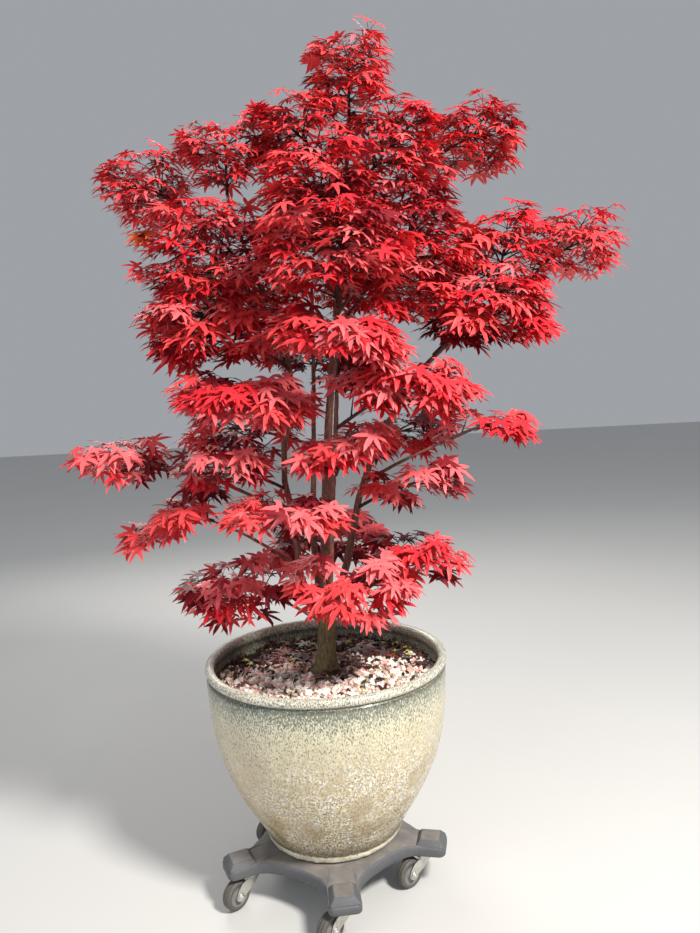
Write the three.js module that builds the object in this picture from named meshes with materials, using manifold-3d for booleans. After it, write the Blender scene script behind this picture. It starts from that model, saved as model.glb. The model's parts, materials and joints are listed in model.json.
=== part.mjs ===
// A red-leaved Japanese maple in a glazed stoneware pot that stands on a five-armed rolling stand.
// Millimetres, +Z up. The front of the plant looks towards -Y, and the floor is z = 0.
// While the pieces are made, the pot's axis is x = y = 0. At the end the whole group moves so that
// the origin is on the floor under the middle of its bounding box.
import * as THREE from 'three';
import { mergeVertices } from 'three/addons/utils/BufferGeometryUtils.js';
import Module from 'manifold-3d';

const wasm = await Module();
wasm.setup();

// Gap that separate pieces keep where they touch
const GAP = 0.3;

// Pot: everything follows from the rim, 20 inches across, and the height of the bowl
const RIM_RADIUS = 256;
const POT_FOOT_Z = 93.3;
const POT_HEIGHT = 387;
const POT_WALL = 15;
const POT_FLOOR = 24;
const FOOT_RADIUS = 142;
const POT_SEGMENTS = 22;

// Soil: a low mound inside the pot, with a flat spot where the trunk stands
const SOIL_TOP_Z = 442;
const SOIL_EDGE_DROP = 8;
const SOIL_FLAT_RADIUS = 60;
const SOIL_CLEARANCE = 0.5;

// Stand: a star of five arms on swivel casters, a little nearer the front than the pot
const STAND_CENTRE = new THREE.Vector2(-3, -23);
const STAND_TURN = 3.5;
const ARM_COUNT = 5;
const ARM_LENGTH = 241;
const ARM_HALF_WIDTH = 32;
const STAND_UNDERSIDE_Z = 69;
const STAND_WEB_Z = 86.5;
const STAND_PAD_Z = 93;
const ARM_TOP_Z = 99;

// Casters
const WHEEL_RADIUS = 30;
const WHEEL_WIDTH = 22;
const WHEEL_SIDES = 14;
const AXLE_RADIUS = 4.5;
const AXLE_CLEARANCE = 0.35;
const CASTER_TRAIL = 38;
const SWIVEL_RADIUS = 190;
const CASTER_HEADINGS = [-137, -146, -140, -143, -135];

// Trunk and stems
const TRUNK_RADIUS = 21;
const TRUNK_FLARE = 13;
const TRUNK_TOP_Z = 562;

// Leaves: five lobes, larger than life because there are fewer of them. Masses narrower than the full-leaf
// half width get leaves that are smaller in proportion.
const LEAF_SIZE = 100;
const FULL_LEAF_HALF_WIDTH = 130;
const LEAF_THICKNESS = 3;
const LEAF_DROOP = 0.3;
const LEAF_BASE = 0.3;
const LEAF_NOTCH = 0.4;
const LEAF_LOBES = [[-128, 0.66], [-64, 0.9], [0, 1], [64, 0.9], [128, 0.66]];

// How many leaves a mass gets for its size, and how often a place for them is tried
const LEAF_SPACING = 52.5;
const LEAF_ATTEMPTS = 700;

const materials = {
  glaze: new THREE.MeshStandardMaterial({ color: 0xa9a98c, roughness: 0.3, metalness: 0 }),
  soil: new THREE.MeshStandardMaterial({ color: 0xb79a8c, roughness: 0.95, metalness: 0 }),
  stand: new THREE.MeshStandardMaterial({ color: 0x66666c, roughness: 0.7, metalness: 0 }),
  zinc: new THREE.MeshStandardMaterial({ color: 0xc9c6bd, roughness: 0.4, metalness: 0.8 }),
  tread: new THREE.MeshStandardMaterial({ color: 0x55585a, roughness: 0.8, metalness: 0 }),
  trunkBark: new THREE.MeshStandardMaterial({ color: 0x6b6a45, roughness: 0.85, metalness: 0 }),
  stemBark: new THREE.MeshStandardMaterial({ color: 0x9a6a55, roughness: 0.8, metalness: 0 }),
  leaf: new THREE.MeshStandardMaterial({ color: 0xc21f33, roughness: 0.55, metalness: 0 }),
};

const UP = new THREE.Vector3(0, 0, 1);
const degrees = THREE.MathUtils.degToRad;
const vector = ([x, y, z]) => new THREE.Vector3(x, y, z);

const group = new THREE.Group();

// Solids and meshes

function solidOf(geometry) {
  const bare = geometry.clone();
  bare.deleteAttribute('normal');
  bare.deleteAttribute('uv');
  const merged = mergeVertices(bare, 1e-4);
  return new wasm.Manifold(new wasm.Mesh({
    numProp: 3,
    vertProperties: new Float32Array(merged.attributes.position.array),
    triVerts: new Uint32Array(merged.index.array),
  }));
}

function largestPiece(solid) {
  const pieces = solid.decompose();
  pieces.sort((a, b) => b.volume() - a.volume());
  return pieces[0];
}

function addMesh(name, solid, material, tolerance = 0.02) {
  const result = largestPiece(solid.simplify(tolerance)).getMesh();
  const geometry = new THREE.BufferGeometry();
  geometry.setAttribute('position', new THREE.Float32BufferAttribute(result.vertProperties, 3));
  geometry.setIndex(Array.from(result.triVerts));
  geometry.computeVertexNormals();
  const mesh = new THREE.Mesh(geometry, material);
  mesh.name = name;
  group.add(mesh);
  return mesh;
}

function placed(solid, matrix) {
  return solid.transform(matrix.elements);
}

function turned(profile, segments) {
  const points = profile.map(([radius, height]) => new THREE.Vector2(radius, height));
  const geometry = new THREE.LatheGeometry(points, segments);
  return geometry.rotateX(Math.PI / 2);
}

// A box whose top is smaller than its foot, standing on z = 0 and centred on x = y = 0
function taperedBox(length, width, height, lengthInset, widthInset) {
  const geometry = new THREE.BoxGeometry(length, width, height);
  const place = geometry.attributes.position;
  for (let i = 0; i < place.count; i++) {
    if (place.getZ(i) > 0) {
      place.setX(i, place.getX(i) - Math.sign(place.getX(i)) * lengthInset);
      place.setY(i, place.getY(i) - Math.sign(place.getY(i)) * widthInset);
    }
  }
  return geometry.translate(0, 0, height / 2);
}

// Pot: one bowl curve from the foot to the shoulder, then a rolled rim with a groove under it

const SHOULDER_RADIUS = RIM_RADIUS - 3;
const SHOULDER_HEIGHT = POT_HEIGHT - 23;
const bowlCurve = new THREE.CubicBezierCurve(
  new THREE.Vector2(FOOT_RADIUS, 6),
  new THREE.Vector2(FOOT_RADIUS + 42, 98),
  new THREE.Vector2(SHOULDER_RADIUS, 150),
  new THREE.Vector2(SHOULDER_RADIUS, SHOULDER_HEIGHT),
);

function rimProfile() {
  const roll = 9.5;
  const centreRadius = RIM_RADIUS - roll;
  const centreHeight = POT_HEIGHT - roll;
  const points = [[SHOULDER_RADIUS - 4, SHOULDER_HEIGHT + 4]];
  for (let angle = -60; angle <= 180; angle += 40) {
    const a = degrees(angle);
    points.push([centreRadius + roll * Math.cos(a), centreHeight + roll * Math.sin(a)]);
  }
  return points;
}

// The inside wall follows the bowl curve, one wall thickness in, from just above the pot's floor
const innerWall = bowlCurve.getPoints(4).slice(1).map((point) => [point.x - POT_WALL, point.y]);

function wallRadius(height) {
  const above = innerWall.findIndex((point) => point[1] >= height);
  const [lowRadius, lowHeight] = innerWall[above - 1];
  const [highRadius, highHeight] = innerWall[above];
  return THREE.MathUtils.mapLinear(height, lowHeight, highHeight, lowRadius, highRadius);
}

function makePot() {
  const outer = bowlCurve.getPoints(6).map((point) => [point.x, point.y]);
  const profile = [
    [0, 0],
    [FOOT_RADIUS - 6, 0],
    ...outer,
    ...rimProfile(),
    ...[...innerWall].reverse(),
    [innerWall[0][0] - 14, POT_FLOOR],
    [0, POT_FLOOR],
  ];
  const pot = turned(profile, POT_SEGMENTS).translate(0, 0, POT_FOOT_Z);
  addMesh('pot', solidOf(pot), materials.glaze);
}

function makeSoil() {
  const top = SOIL_TOP_Z - POT_FOOT_Z;
  const edge = top - SOIL_EDGE_DROP;
  const edgeRadius = wallRadius(edge) - SOIL_CLEARANCE;
  const buried = innerWall.filter(([, height]) => height < edge);
  const profile = [
    [0, POT_FLOOR + GAP],
    [innerWall[0][0] - 16, POT_FLOOR + GAP],
    ...buried.map(([radius, height]) => [radius - SOIL_CLEARANCE, height]),
    [edgeRadius, edge],
    [edgeRadius - 60, edge + 2],
    [SOIL_FLAT_RADIUS, top],
    [0, top],
  ];
  const soil = turned(profile, POT_SEGMENTS).translate(0, 0, POT_FOOT_Z);
  addMesh('soil', solidOf(soil), materials.soil);
}

// Stand

function armDirection(index) {
  const angle = degrees(STAND_TURN + index * 360 / ARM_COUNT);
  return new THREE.Vector2(Math.sin(angle), -Math.cos(angle));
}

function armPoint(index, along, side) {
  const out = armDirection(index);
  return new THREE.Vector2(
    STAND_CENTRE.x + out.x * along - out.y * side,
    STAND_CENTRE.y + out.y * along + out.x * side,
  );
}

function starShape() {
  const corner = 7;
  const webStart = 186;
  const webPull = 152;
  const shape = new THREE.Shape();
  for (let index = 0; index < ARM_COUNT; index++) {
    const outline = [
      armPoint(index, webStart, -ARM_HALF_WIDTH),
      armPoint(index, ARM_LENGTH - corner, -ARM_HALF_WIDTH),
      armPoint(index, ARM_LENGTH, corner - ARM_HALF_WIDTH),
      armPoint(index, ARM_LENGTH, ARM_HALF_WIDTH - corner),
      armPoint(index, ARM_LENGTH - corner, ARM_HALF_WIDTH),
      armPoint(index, webStart, ARM_HALF_WIDTH),
    ];
    if (index === 0) {
      shape.moveTo(outline[0].x, outline[0].y);
    }
    outline.forEach((point) => shape.lineTo(point.x, point.y));
    const leave = armPoint(index, webPull, ARM_HALF_WIDTH);
    const arrive = armPoint(index + 1, webPull, -ARM_HALF_WIDTH);
    const next = armPoint(index + 1, webStart, -ARM_HALF_WIDTH);
    shape.bezierCurveTo(leave.x, leave.y, arrive.x, arrive.y, next.x, next.y);
  }
  return shape;
}

function makeStand() {
  const bevel = 4;
  const depth = STAND_WEB_Z - STAND_UNDERSIDE_Z - 2 * bevel;
  const star = new THREE.ExtrudeGeometry(starShape(), {
    depth,
    curveSegments: 5,
    bevelThickness: bevel,
    bevelSize: bevel,
    bevelOffset: -bevel,
    bevelSegments: 1,
  });
  const pieces = [solidOf(star.translate(0, 0, STAND_UNDERSIDE_Z + bevel))];
  const padSunk = 3;
  const padHeight = STAND_PAD_Z - STAND_WEB_Z + padSunk;
  const pad = turned([[0, 0], [148, 0], [139, padHeight], [0, padHeight]], 20);
  pieces.push(solidOf(pad.translate(STAND_CENTRE.x, STAND_CENTRE.y, STAND_WEB_Z - padSunk)));
  const blockStart = 172;
  const blockLength = ARM_LENGTH - blockStart - 4;
  const blockSunk = 5;
  const blockHeight = ARM_TOP_Z - STAND_WEB_Z + blockSunk;
  for (let index = 0; index < ARM_COUNT; index++) {
    const middle = armPoint(index, blockStart + blockLength / 2, 0);
    const out = armDirection(index);
    const block = taperedBox(blockLength, 2 * ARM_HALF_WIDTH - 8, blockHeight, 9, 6);
    block.rotateZ(Math.atan2(out.y, out.x));
    pieces.push(solidOf(block.translate(middle.x, middle.y, STAND_WEB_Z - blockSunk)));
  }
  addMesh('stand', wasm.Manifold.union(pieces), materials.stand);
}

// Casters: made with the swivel axis on x = y = 0 and the wheel trailing along +X, then turned and placed

function cheekShape() {
  const top = STAND_UNDERSIDE_Z - GAP - 2;
  const boss = 9;
  const shape = new THREE.Shape();
  shape.moveTo(-14, top);
  shape.lineTo(-10, top - 14);
  shape.lineTo(CASTER_TRAIL - boss, WHEEL_RADIUS - 3);
  shape.absarc(CASTER_TRAIL, WHEEL_RADIUS, boss, degrees(200), degrees(380), false);
  shape.lineTo(CASTER_TRAIL + 2, WHEEL_RADIUS + 16);
  shape.lineTo(16, top);
  return shape;
}

function makeFork() {
  const cheekThickness = 2.5;
  const cheekInside = WHEEL_WIDTH / 2 + 1.5;
  const plateRadius = 21;
  const plateThickness = 5;
  const plateZ = STAND_UNDERSIDE_Z - GAP - plateThickness;
  const plate = new THREE.CylinderGeometry(plateRadius, plateRadius - 3, plateThickness, 8);
  plate.rotateX(Math.PI / 2);
  const pieces = [solidOf(plate.translate(0, 0, plateZ + plateThickness / 2))];
  for (const side of [-1, 1]) {
    const cheek = new THREE.ExtrudeGeometry(cheekShape(), {
      depth: cheekThickness,
      curveSegments: 3,
      bevelEnabled: false,
    });
    cheek.rotateX(Math.PI / 2);
    const inner = side * (cheekInside + cheekThickness / 2);
    pieces.push(solidOf(cheek.translate(0, inner + cheekThickness / 2, 0)));
  }
  const axleLength = 2 * (cheekInside + cheekThickness) + 3;
  const axle = new THREE.CylinderGeometry(AXLE_RADIUS, AXLE_RADIUS, axleLength, 6);
  pieces.push(solidOf(axle.translate(CASTER_TRAIL, 0, WHEEL_RADIUS)));
  const brake = taperedBox(16, 22, 20, 3, 4);
  pieces.push(solidOf(brake.translate(-23, 0, plateZ - 15)));
  return wasm.Manifold.union(pieces);
}

function makeWheel() {
  const half = WHEEL_WIDTH / 2;
  const across = WHEEL_RADIUS / Math.cos(Math.PI / WHEEL_SIDES);
  const bore = (AXLE_RADIUS + AXLE_CLEARANCE) / Math.cos(Math.PI / WHEEL_SIDES);
  const profile = [[bore, -half], [across - 4, -half], [across, 4 - half]];
  const mirrored = [...profile].reverse().map(([radius, height]) => [radius, -height]);
  const outline = [...profile, ...mirrored, profile[0]];
  const points = outline.map(([radius, height]) => new THREE.Vector2(radius, height));
  const wheel = new THREE.LatheGeometry(points, WHEEL_SIDES);
  wheel.rotateY(Math.PI / WHEEL_SIDES);
  return solidOf(wheel);
}

function makeCasters() {
  const fork = makeFork();
  const wheel = makeWheel();
  for (let index = 0; index < ARM_COUNT; index++) {
    const swivel = armPoint(index, SWIVEL_RADIUS, 0);
    const turn = new THREE.Matrix4().makeRotationZ(degrees(CASTER_HEADINGS[index]));
    turn.setPosition(swivel.x, swivel.y, 0);
    const hub = new THREE.Matrix4().makeTranslation(CASTER_TRAIL, 0, WHEEL_RADIUS);
    addMesh(`fork_${index + 1}`, placed(fork, turn), materials.zinc);
    addMesh(`wheel_${index + 1}`, placed(wheel, turn.clone().multiply(hub)), materials.tread);
  }
}

// Limbs: rings of points along a curve, closed by a flat cut at each end

function limbGeometry(curve, radiusAt, sides, steps) {
  const frames = curve.computeFrenetFrames(steps, false);
  const positions = [];
  for (let ring = 0; ring <= steps; ring++) {
    const centre = curve.getPointAt(ring / steps);
    for (let side = 0; side < sides; side++) {
      const angle = 2 * Math.PI * side / sides;
      const radius = radiusAt(ring / steps, angle);
      const point = centre.clone();
      point.addScaledVector(frames.normals[ring], radius * Math.cos(angle));
      point.addScaledVector(frames.binormals[ring], radius * Math.sin(angle));
      positions.push(point.x, point.y, point.z);
    }
  }
  const faces = [];
  for (let side = 1; side < sides - 1; side++) {
    faces.push(0, side + 1, side);
  }
  for (let ring = 0; ring < steps; ring++) {
    for (let side = 0; side < sides; side++) {
      const next = (side + 1) % sides;
      const low = ring * sides;
      const high = low + sides;
      faces.push(low + side, low + next, high + next, low + side, high + next, high + side);
    }
  }
  const last = steps * sides;
  for (let side = 1; side < sides - 1; side++) {
    faces.push(last, last + side, last + side + 1);
  }
  const geometry = new THREE.BufferGeometry();
  geometry.setAttribute('position', new THREE.Float32BufferAttribute(positions, 3));
  geometry.setIndex(faces);
  return geometry;
}

// Every limb that foliage keeps clear of, by name: its curve, its solid and the same solid grown by the gap
const limbs = {};

function addLimb(name, curve, foot, tip, sides, steps, hosts, material) {
  const radiusAt = (t) => THREE.MathUtils.lerp(foot, tip, t ** 0.8);
  const grownRadius = (t) => radiusAt(t) + GAP / Math.cos(Math.PI / sides);
  let solid = solidOf(limbGeometry(curve, radiusAt, sides, steps));
  for (const host of hosts) {
    solid = solid.subtract(limbs[host].grown);
  }
  const grown = solidOf(limbGeometry(curve, grownRadius, sides, steps));
  limbs[name] = { curve, tip, grown, solid: largestPiece(solid) };
  addMesh(name, solid, material);
}

const TRUNK_FOOT = new THREE.Vector3(-1, -5, SOIL_TOP_Z + GAP);
const trunkCurve = new THREE.CubicBezierCurve3(
  TRUNK_FOOT,
  TRUNK_FOOT.clone().add(new THREE.Vector3(0, 0, 45)),
  new THREE.Vector3(5, -4, TRUNK_TOP_Z - 50),
  new THREE.Vector3(6, -4, TRUNK_TOP_Z),
);

function makeTrunk() {
  const sides = 15;
  const steps = 8;
  const radiusAt = (t, angle) => {
    const flare = TRUNK_FLARE * Math.exp(-t * 7);
    return TRUNK_RADIUS - 3 * t + flare * (1 + 0.35 * Math.cos(5 * angle));
  };
  const grownRadius = (t, angle) => radiusAt(t, angle) + GAP / Math.cos(Math.PI / sides);
  const solid = solidOf(limbGeometry(trunkCurve, radiusAt, sides, steps));
  const grown = solidOf(limbGeometry(trunkCurve, grownRadius, sides, steps));
  limbs.trunk = { curve: trunkCurve, tip: TRUNK_RADIUS - 3, grown, solid };
  addMesh('trunk', solid, materials.trunkBark);
}

// Stems: each leaves the trunk near its top and passes through a few places where the crown shows it
const STEMS = [
  { name: 'stem_leader', radii: [14, 4], steps: 12,
    path: [[6, -4, TRUNK_TOP_Z + GAP], [14, 6, 760], [34, 14, 1000], [66, 8, 1250], [102, 0, 1575]] },
  { name: 'stem_left', radii: [10, 3.6], steps: 14,
    path: [[3, -4, 530], [-44, -20, 650], [-50, -24, 760], [-68, -20, 880], [-42, 0, 1080], [-112, 8, 1300],
      [-150, 4, 1440]] },
  { name: 'stem_right', radii: [11, 3.6], steps: 13,
    path: [[7, -3, 536], [52, 12, 660], [104, 4, 860], [236, 4, 1080], [337, 12, 1149], [430, 24, 1200],
      [500, 42, 1280]] },
  { name: 'stem_front', radii: [9, 3.6], steps: 9,
    path: [[5, -6, 540], [16, -64, 660], [28, -112, 820], [44, -132, 1000], [56, -140, 1190]] },
  { name: 'stem_back', radii: [10, 3.8], steps: 9,
    path: [[4, 0, 534], [-14, 74, 680], [-4, 130, 900], [6, 160, 1100], [12, 160, 1320]] },
];

function makeStems() {
  const earlier = ['trunk'];
  for (const { name, radii, steps, path } of STEMS) {
    const curve = new THREE.CatmullRomCurve3(path.map(vector), false, 'centripetal');
    addLimb(name, curve, radii[0], radii[1], 6, steps, earlier, materials.stemBark);
    earlier.push(name);
  }
}

// Boughs: each leaves a stem part of the way up, dips or rises along one arc and ends in its mass
const BOUGHS = [
  { name: 'bough_far_left_high', on: 'stem_left', at: 0.8, tip: [-250, 16, 1425], rise: 25, radii: [5, 3] },
  { name: 'bough_upper_right', on: 'stem_leader', at: 0.62, tip: [262, 16, 1490], rise: -30, radii: [5, 3] },
  { name: 'bough_far_left_low', on: 'stem_left', at: 0.27, tip: [-300, -48, 902], rise: 30, radii: [6, 3] },
  { name: 'bough_left_low', on: 'stem_left', at: 0.16, tip: [-215, -52, 786], rise: 20, radii: [6, 3] },
  { name: 'bough_left_bottom', on: 'trunk', at: 0.82, tip: [-120, -30, 622], rise: 12, radii: [6, 3.4] },
  { name: 'bough_right_pad', on: 'stem_right', at: 0.34, tip: [290, 0, 925], rise: 10, radii: [6, 3] },
  { name: 'bough_bottom_right', on: 'trunk', at: 0.86, tip: [140, -30, 650], rise: 12, radii: [6, 3.4] },
];

function arc(start, end, rise) {
  const middle = start.clone().lerp(end, 0.5).addScaledVector(UP, rise);
  return new THREE.QuadraticBezierCurve3(start, middle, end);
}

function makeBoughs() {
  const stems = ['trunk', ...STEMS.map((stem) => stem.name)];
  for (const { name, on, at, tip, rise, radii } of BOUGHS) {
    const start = limbs[on].curve.getPointAt(at);
    addLimb(name, arc(start, vector(tip), rise), radii[0], radii[1], 5, 5, stems, materials.stemBark);
  }
}

// Foliage masses: where each one is fed from, its middle and its three half sizes
const MASSES = [
  { name: 'crown_top', on: 'stem_leader', at: 1, centre: [112, 0, 1668], size: [112, 105, 96] },
  { name: 'neck_left', on: 'stem_leader', at: 0.87, centre: [14, -10, 1568], size: [112, 110, 82] },
  { name: 'neck_right', on: 'stem_leader', at: 0.82, centre: [190, 0, 1535], size: [130, 125, 98] },
  { name: 'upper_right', on: 'bough_upper_right', at: 1, centre: [335, 20, 1535], size: [125, 110, 88] },
  { name: 'upper_left', on: 'stem_left', at: 1, centre: [-155, 0, 1512], size: [104, 100, 90] },
  { name: 'far_left_high', on: 'bough_far_left_high', at: 1, centre: [-306, 20, 1452], size: [130, 110, 82] },
  { name: 'left_high', on: 'stem_left', at: 0.72, centre: [-215, -70, 1342], size: [160, 145, 105] },
  { name: 'centre_high', on: 'stem_leader', at: 0.68, centre: [60, -100, 1420], size: [160, 130, 110] },
  { name: 'front_high', on: 'stem_front', at: 1, centre: [60, -210, 1275], size: [165, 135, 100] },
  { name: 'right_high', on: 'stem_leader', at: 0.58, centre: [235, -50, 1385], size: [150, 140, 108] },
  { name: 'right_far', on: 'stem_right', at: 0.82, centre: [425, 30, 1335], size: [130, 110, 82] },
  { name: 'right_tip', on: 'stem_right', at: 1, centre: [575, 50, 1318], size: [126, 105, 82] },
  { name: 'right_mid', on: 'stem_right', at: 0.66, centre: [355, -50, 1190], size: [165, 140, 95] },
  { name: 'front_mid', on: 'stem_front', at: 0.8, centre: [64, -230, 1142], size: [165, 135, 84] },
  { name: 'left_mid', on: 'stem_left', at: 0.6, centre: [-170, -100, 1200], size: [160, 140, 98] },
  { name: 'left_inner', on: 'stem_left', at: 0.46, centre: [-135, -160, 1020], size: [160, 130, 84] },
  { name: 'far_left_low', on: 'bough_far_left_low', at: 1, centre: [-374, -60, 912], size: [130, 112, 76] },
  { name: 'left_lower', on: 'stem_left', at: 0.34, centre: [-195, -115, 893], size: [140, 115, 72] },
  { name: 'left_low', on: 'bough_left_low', at: 1, centre: [-275, -50, 792], size: [132, 112, 64] },
  { name: 'left_bottom', on: 'bough_left_bottom', at: 1, centre: [-175, -40, 640], size: [130, 112, 78] },
  { name: 'front_right', on: 'stem_front', at: 0.66, centre: [170, -190, 1035], size: [150, 125, 84] },
  { name: 'right_pad', on: 'bough_right_pad', at: 1, centre: [372, 0, 930], size: [128, 108, 66] },
  { name: 'right_low', on: 'stem_right', at: 0.28, centre: [190, -100, 838], size: [122, 105, 66] },
  { name: 'front_low', on: 'stem_front', at: 0.4, centre: [-45, -180, 800], size: [145, 115, 74] },
  { name: 'bottom_front', on: 'stem_front', at: 0.14, centre: [50, -140, 640], size: [142, 120, 76] },
  { name: 'bottom_right', on: 'bough_bottom_right', at: 1, centre: [200, -40, 672], size: [108, 105, 72] },
  { name: 'centre_inner', on: 'stem_front', at: 0.52, centre: [80, -140, 920], size: [145, 115, 80] },
  { name: 'back_top', on: 'stem_leader', at: 0.76, centre: [40, 130, 1440], size: [150, 120, 100] },
  { name: 'back_left_high', on: 'stem_back', at: 0.82, centre: [-190, 160, 1270], size: [160, 140, 100] },
  { name: 'back_right_high', on: 'stem_back', at: 1, centre: [200, 180, 1262], size: [160, 140, 100] },
  { name: 'back_mid', on: 'stem_back', at: 0.7, centre: [20, 250, 1108], size: [160, 130, 90] },
  { name: 'back_left_low', on: 'stem_back', at: 0.5, centre: [-200, 190, 950], size: [160, 140, 90] },
  { name: 'back_right_low', on: 'stem_back', at: 0.42, centre: [210, 190, 930], size: [160, 140, 90] },
  { name: 'back_bottom', on: 'stem_back', at: 0.14, centre: [0, 200, 690], size: [160, 125, 76] },
];

// Each mass keeps to its own space: the part of the air that is nearer to it than to any other mass,
// measured with heights stretched, because the masses are flat pads, and with bigger masses reaching further
const HEIGHT_STRETCH = 1.5;
const SPACE_MARGIN = 1.2;

function stretched(point) {
  return new THREE.Vector3(point.x, point.y, point.z * HEIGHT_STRETCH);
}

function massWeight({ size }) {
  const spread = (size[0] + size[1] + size[2] * HEIGHT_STRETCH) / 3;
  return spread * spread;
}

function spacePlanes(mass) {
  const here = stretched(vector(mass.centre));
  return MASSES.filter((other) => other !== mass).map((other) => {
    const there = stretched(vector(other.centre));
    const across = there.clone().sub(here);
    const length = across.length();
    const tilt = (there.lengthSq() - here.lengthSq() + massWeight(mass) - massWeight(other)) / 2;
    return { normal: across.divideScalar(length), limit: tilt / length - SPACE_MARGIN * HEIGHT_STRETCH };
  });
}

function inSpace(planes, mass, points) {
  const centre = vector(mass.centre);
  return points.every((point) => {
    const place = stretched(point);
    const away = point.clone().sub(centre);
    const reach = (away.x / mass.size[0]) ** 2 + (away.y / mass.size[1]) ** 2 + (away.z / mass.size[2]) ** 2;
    return reach < 1 && planes.every(({ normal, limit }) => normal.dot(place) < limit);
  });
}

// A seeded source of numbers from 0 to 1
function seeded(seed) {
  let state = seed;
  return () => {
    state = (state + 0x6d2b79f5) | 0;
    let mixed = Math.imul(state ^ (state >>> 15), 1 | state);
    mixed = (mixed + Math.imul(mixed ^ (mixed >>> 7), 61 | mixed)) ^ mixed;
    return ((mixed ^ (mixed >>> 14)) >>> 0) / 4294967296;
  };
}

// One leaf: a star outline that droops towards its tips, thickest in the middle, where its stalk comes in
// from below. It lies in x and y with its middle lobe along +X.
function leafOutline(size) {
  const outline = [[-180, LEAF_BASE]];
  LEAF_LOBES.forEach(([angle, reach], index) => {
    outline.push([angle, reach]);
    if (index < LEAF_LOBES.length - 1) {
      outline.push([(angle + LEAF_LOBES[index + 1][0]) / 2, LEAF_NOTCH]);
    }
  });
  return outline.map(([angle, reach]) => ({
    angle,
    point: new THREE.Vector3(
      size * reach * Math.cos(degrees(angle)),
      size * reach * Math.sin(degrees(angle)),
      -size * LEAF_DROOP * reach * reach,
    ),
  }));
}

const STALK_SIDES = 3;
const STALK_FOOT_RADIUS = 1.5;
const STALK_TIP_RADIUS = 1.1;
const STALK_STEEPNESS = 0.15;
const STALK_LONGEST = 120;

// The stalk's ring under the leaf, in the leaf's own axes, starts at its left side and runs round the back
const stalkRingAngle = (index) => 90 + 360 * index / STALK_SIDES;

function nearestOnRing(angle) {
  const order = [...Array(STALK_SIDES).keys()];
  const apart = (index) => Math.cos(degrees(angle - stalkRingAngle(index)));
  return order.reduce((best, index) => (apart(index) > apart(best) ? index : best));
}

// A leaf and its stalk as one closed mesh. The stalk is a three-sided tube along the path, whose last point
// is the middle of the leaf, and its last ring opens into the underside of the blade.
function leafGeometry(size, place, path, footRadius) {
  const side = new THREE.Vector3().setFromMatrixColumn(place, 1);
  const positions = [];
  path.slice(0, -1).forEach((centre, step) => {
    const along = path[step + 1].clone().sub(centre).normalize();
    const a = side.clone().addScaledVector(along, -side.dot(along)).normalize();
    const b = along.clone().cross(a);
    const radius = THREE.MathUtils.lerp(footRadius, STALK_TIP_RADIUS, step / (path.length - 1));
    for (let index = 0; index < STALK_SIDES; index++) {
      const turn = 2 * Math.PI * index / STALK_SIDES;
      const ring = centre.clone().addScaledVector(a, radius * Math.cos(turn));
      positions.push(ring.addScaledVector(b, radius * Math.sin(turn)));
    }
  });
  const ringStart = positions.length;
  const half = LEAF_THICKNESS / 2;
  for (let index = 0; index < STALK_SIDES; index++) {
    const turn = degrees(stalkRingAngle(index));
    const ring = new THREE.Vector3(Math.cos(turn), Math.sin(turn), 0).multiplyScalar(STALK_TIP_RADIUS);
    positions.push(ring.setZ(-half).applyMatrix4(place));
  }
  const rimStart = positions.length;
  const outline = leafOutline(size);
  outline.forEach(({ point }) => positions.push(point.clone().applyMatrix4(place)));
  const top = positions.length;
  positions.push(new THREE.Vector3(0, 0, half).applyMatrix4(place));
  const faces = [0, 2, 1];
  for (let low = 0; low < ringStart; low += STALK_SIDES) {
    for (let index = 0; index < STALK_SIDES; index++) {
      const next = (index + 1) % STALK_SIDES;
      const high = low + STALK_SIDES;
      faces.push(low + index, low + next, high + next, low + index, high + next, high + index);
    }
  }
  outline.forEach(({ angle }, index) => {
    const next = (index + 1) % outline.length;
    const here = nearestOnRing(angle);
    const there = nearestOnRing(outline[next].angle);
    faces.push(top, rimStart + index, rimStart + next);
    faces.push(ringStart + here, rimStart + next, rimStart + index);
    if (here !== there) {
      faces.push(ringStart + here, ringStart + there, rimStart + next);
    }
  });
  const geometry = new THREE.BufferGeometry().setFromPoints(positions);
  geometry.setIndex(faces);
  return geometry;
}

function leafPlace(centre, forward, roll) {
  const side = UP.clone().cross(forward).normalize();
  const normal = forward.clone().cross(side).normalize();
  side.applyAxisAngle(forward, roll);
  normal.applyAxisAngle(forward, roll);
  return new THREE.Matrix4().makeBasis(forward, side, normal).setPosition(centre);
}

function verticesOf(geometry) {
  const place = geometry.attributes.position;
  const points = [];
  for (let i = 0; i < place.count; i++) {
    points.push(new THREE.Vector3().fromBufferAttribute(place, i));
  }
  return points;
}

// What the foliage of one mass keeps clear of: every limb, and the stems that feed the other masses
const feeders = {};

function touchesLimb(solid, massName) {
  for (const limb of Object.values(limbs)) {
    if (!solid.intersect(limb.grown).isEmpty()) {
      return true;
    }
  }
  for (const [name, feeder] of Object.entries(feeders)) {
    if (name !== massName && !solid.intersect(feeder.clearance).isEmpty()) {
      return true;
    }
  }
  return false;
}

// The stem that feeds a mass runs on past its middle. A stalk leaves it a little before the nearest root.
const FEEDER_CLEARANCE = 1;
const FEEDER_SIDES = 4;
const FEEDER_FOOT_RADIUS = 4;
const FEEDER_TIP_RADIUS = 2.9;
const FEEDER_PAST_MIDDLE = 0.3;
const FEEDER_RISE = 0.1;
const FEEDER_FIRST_REACH = 0.4;
const FEEDER_STEP = 55;
const FEEDER_ROOTS = [0.35, 0.45, 0.55, 0.65, 0.75, 0.85, 0.95];
const ROOT_SETBACK = 0.12;

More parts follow.
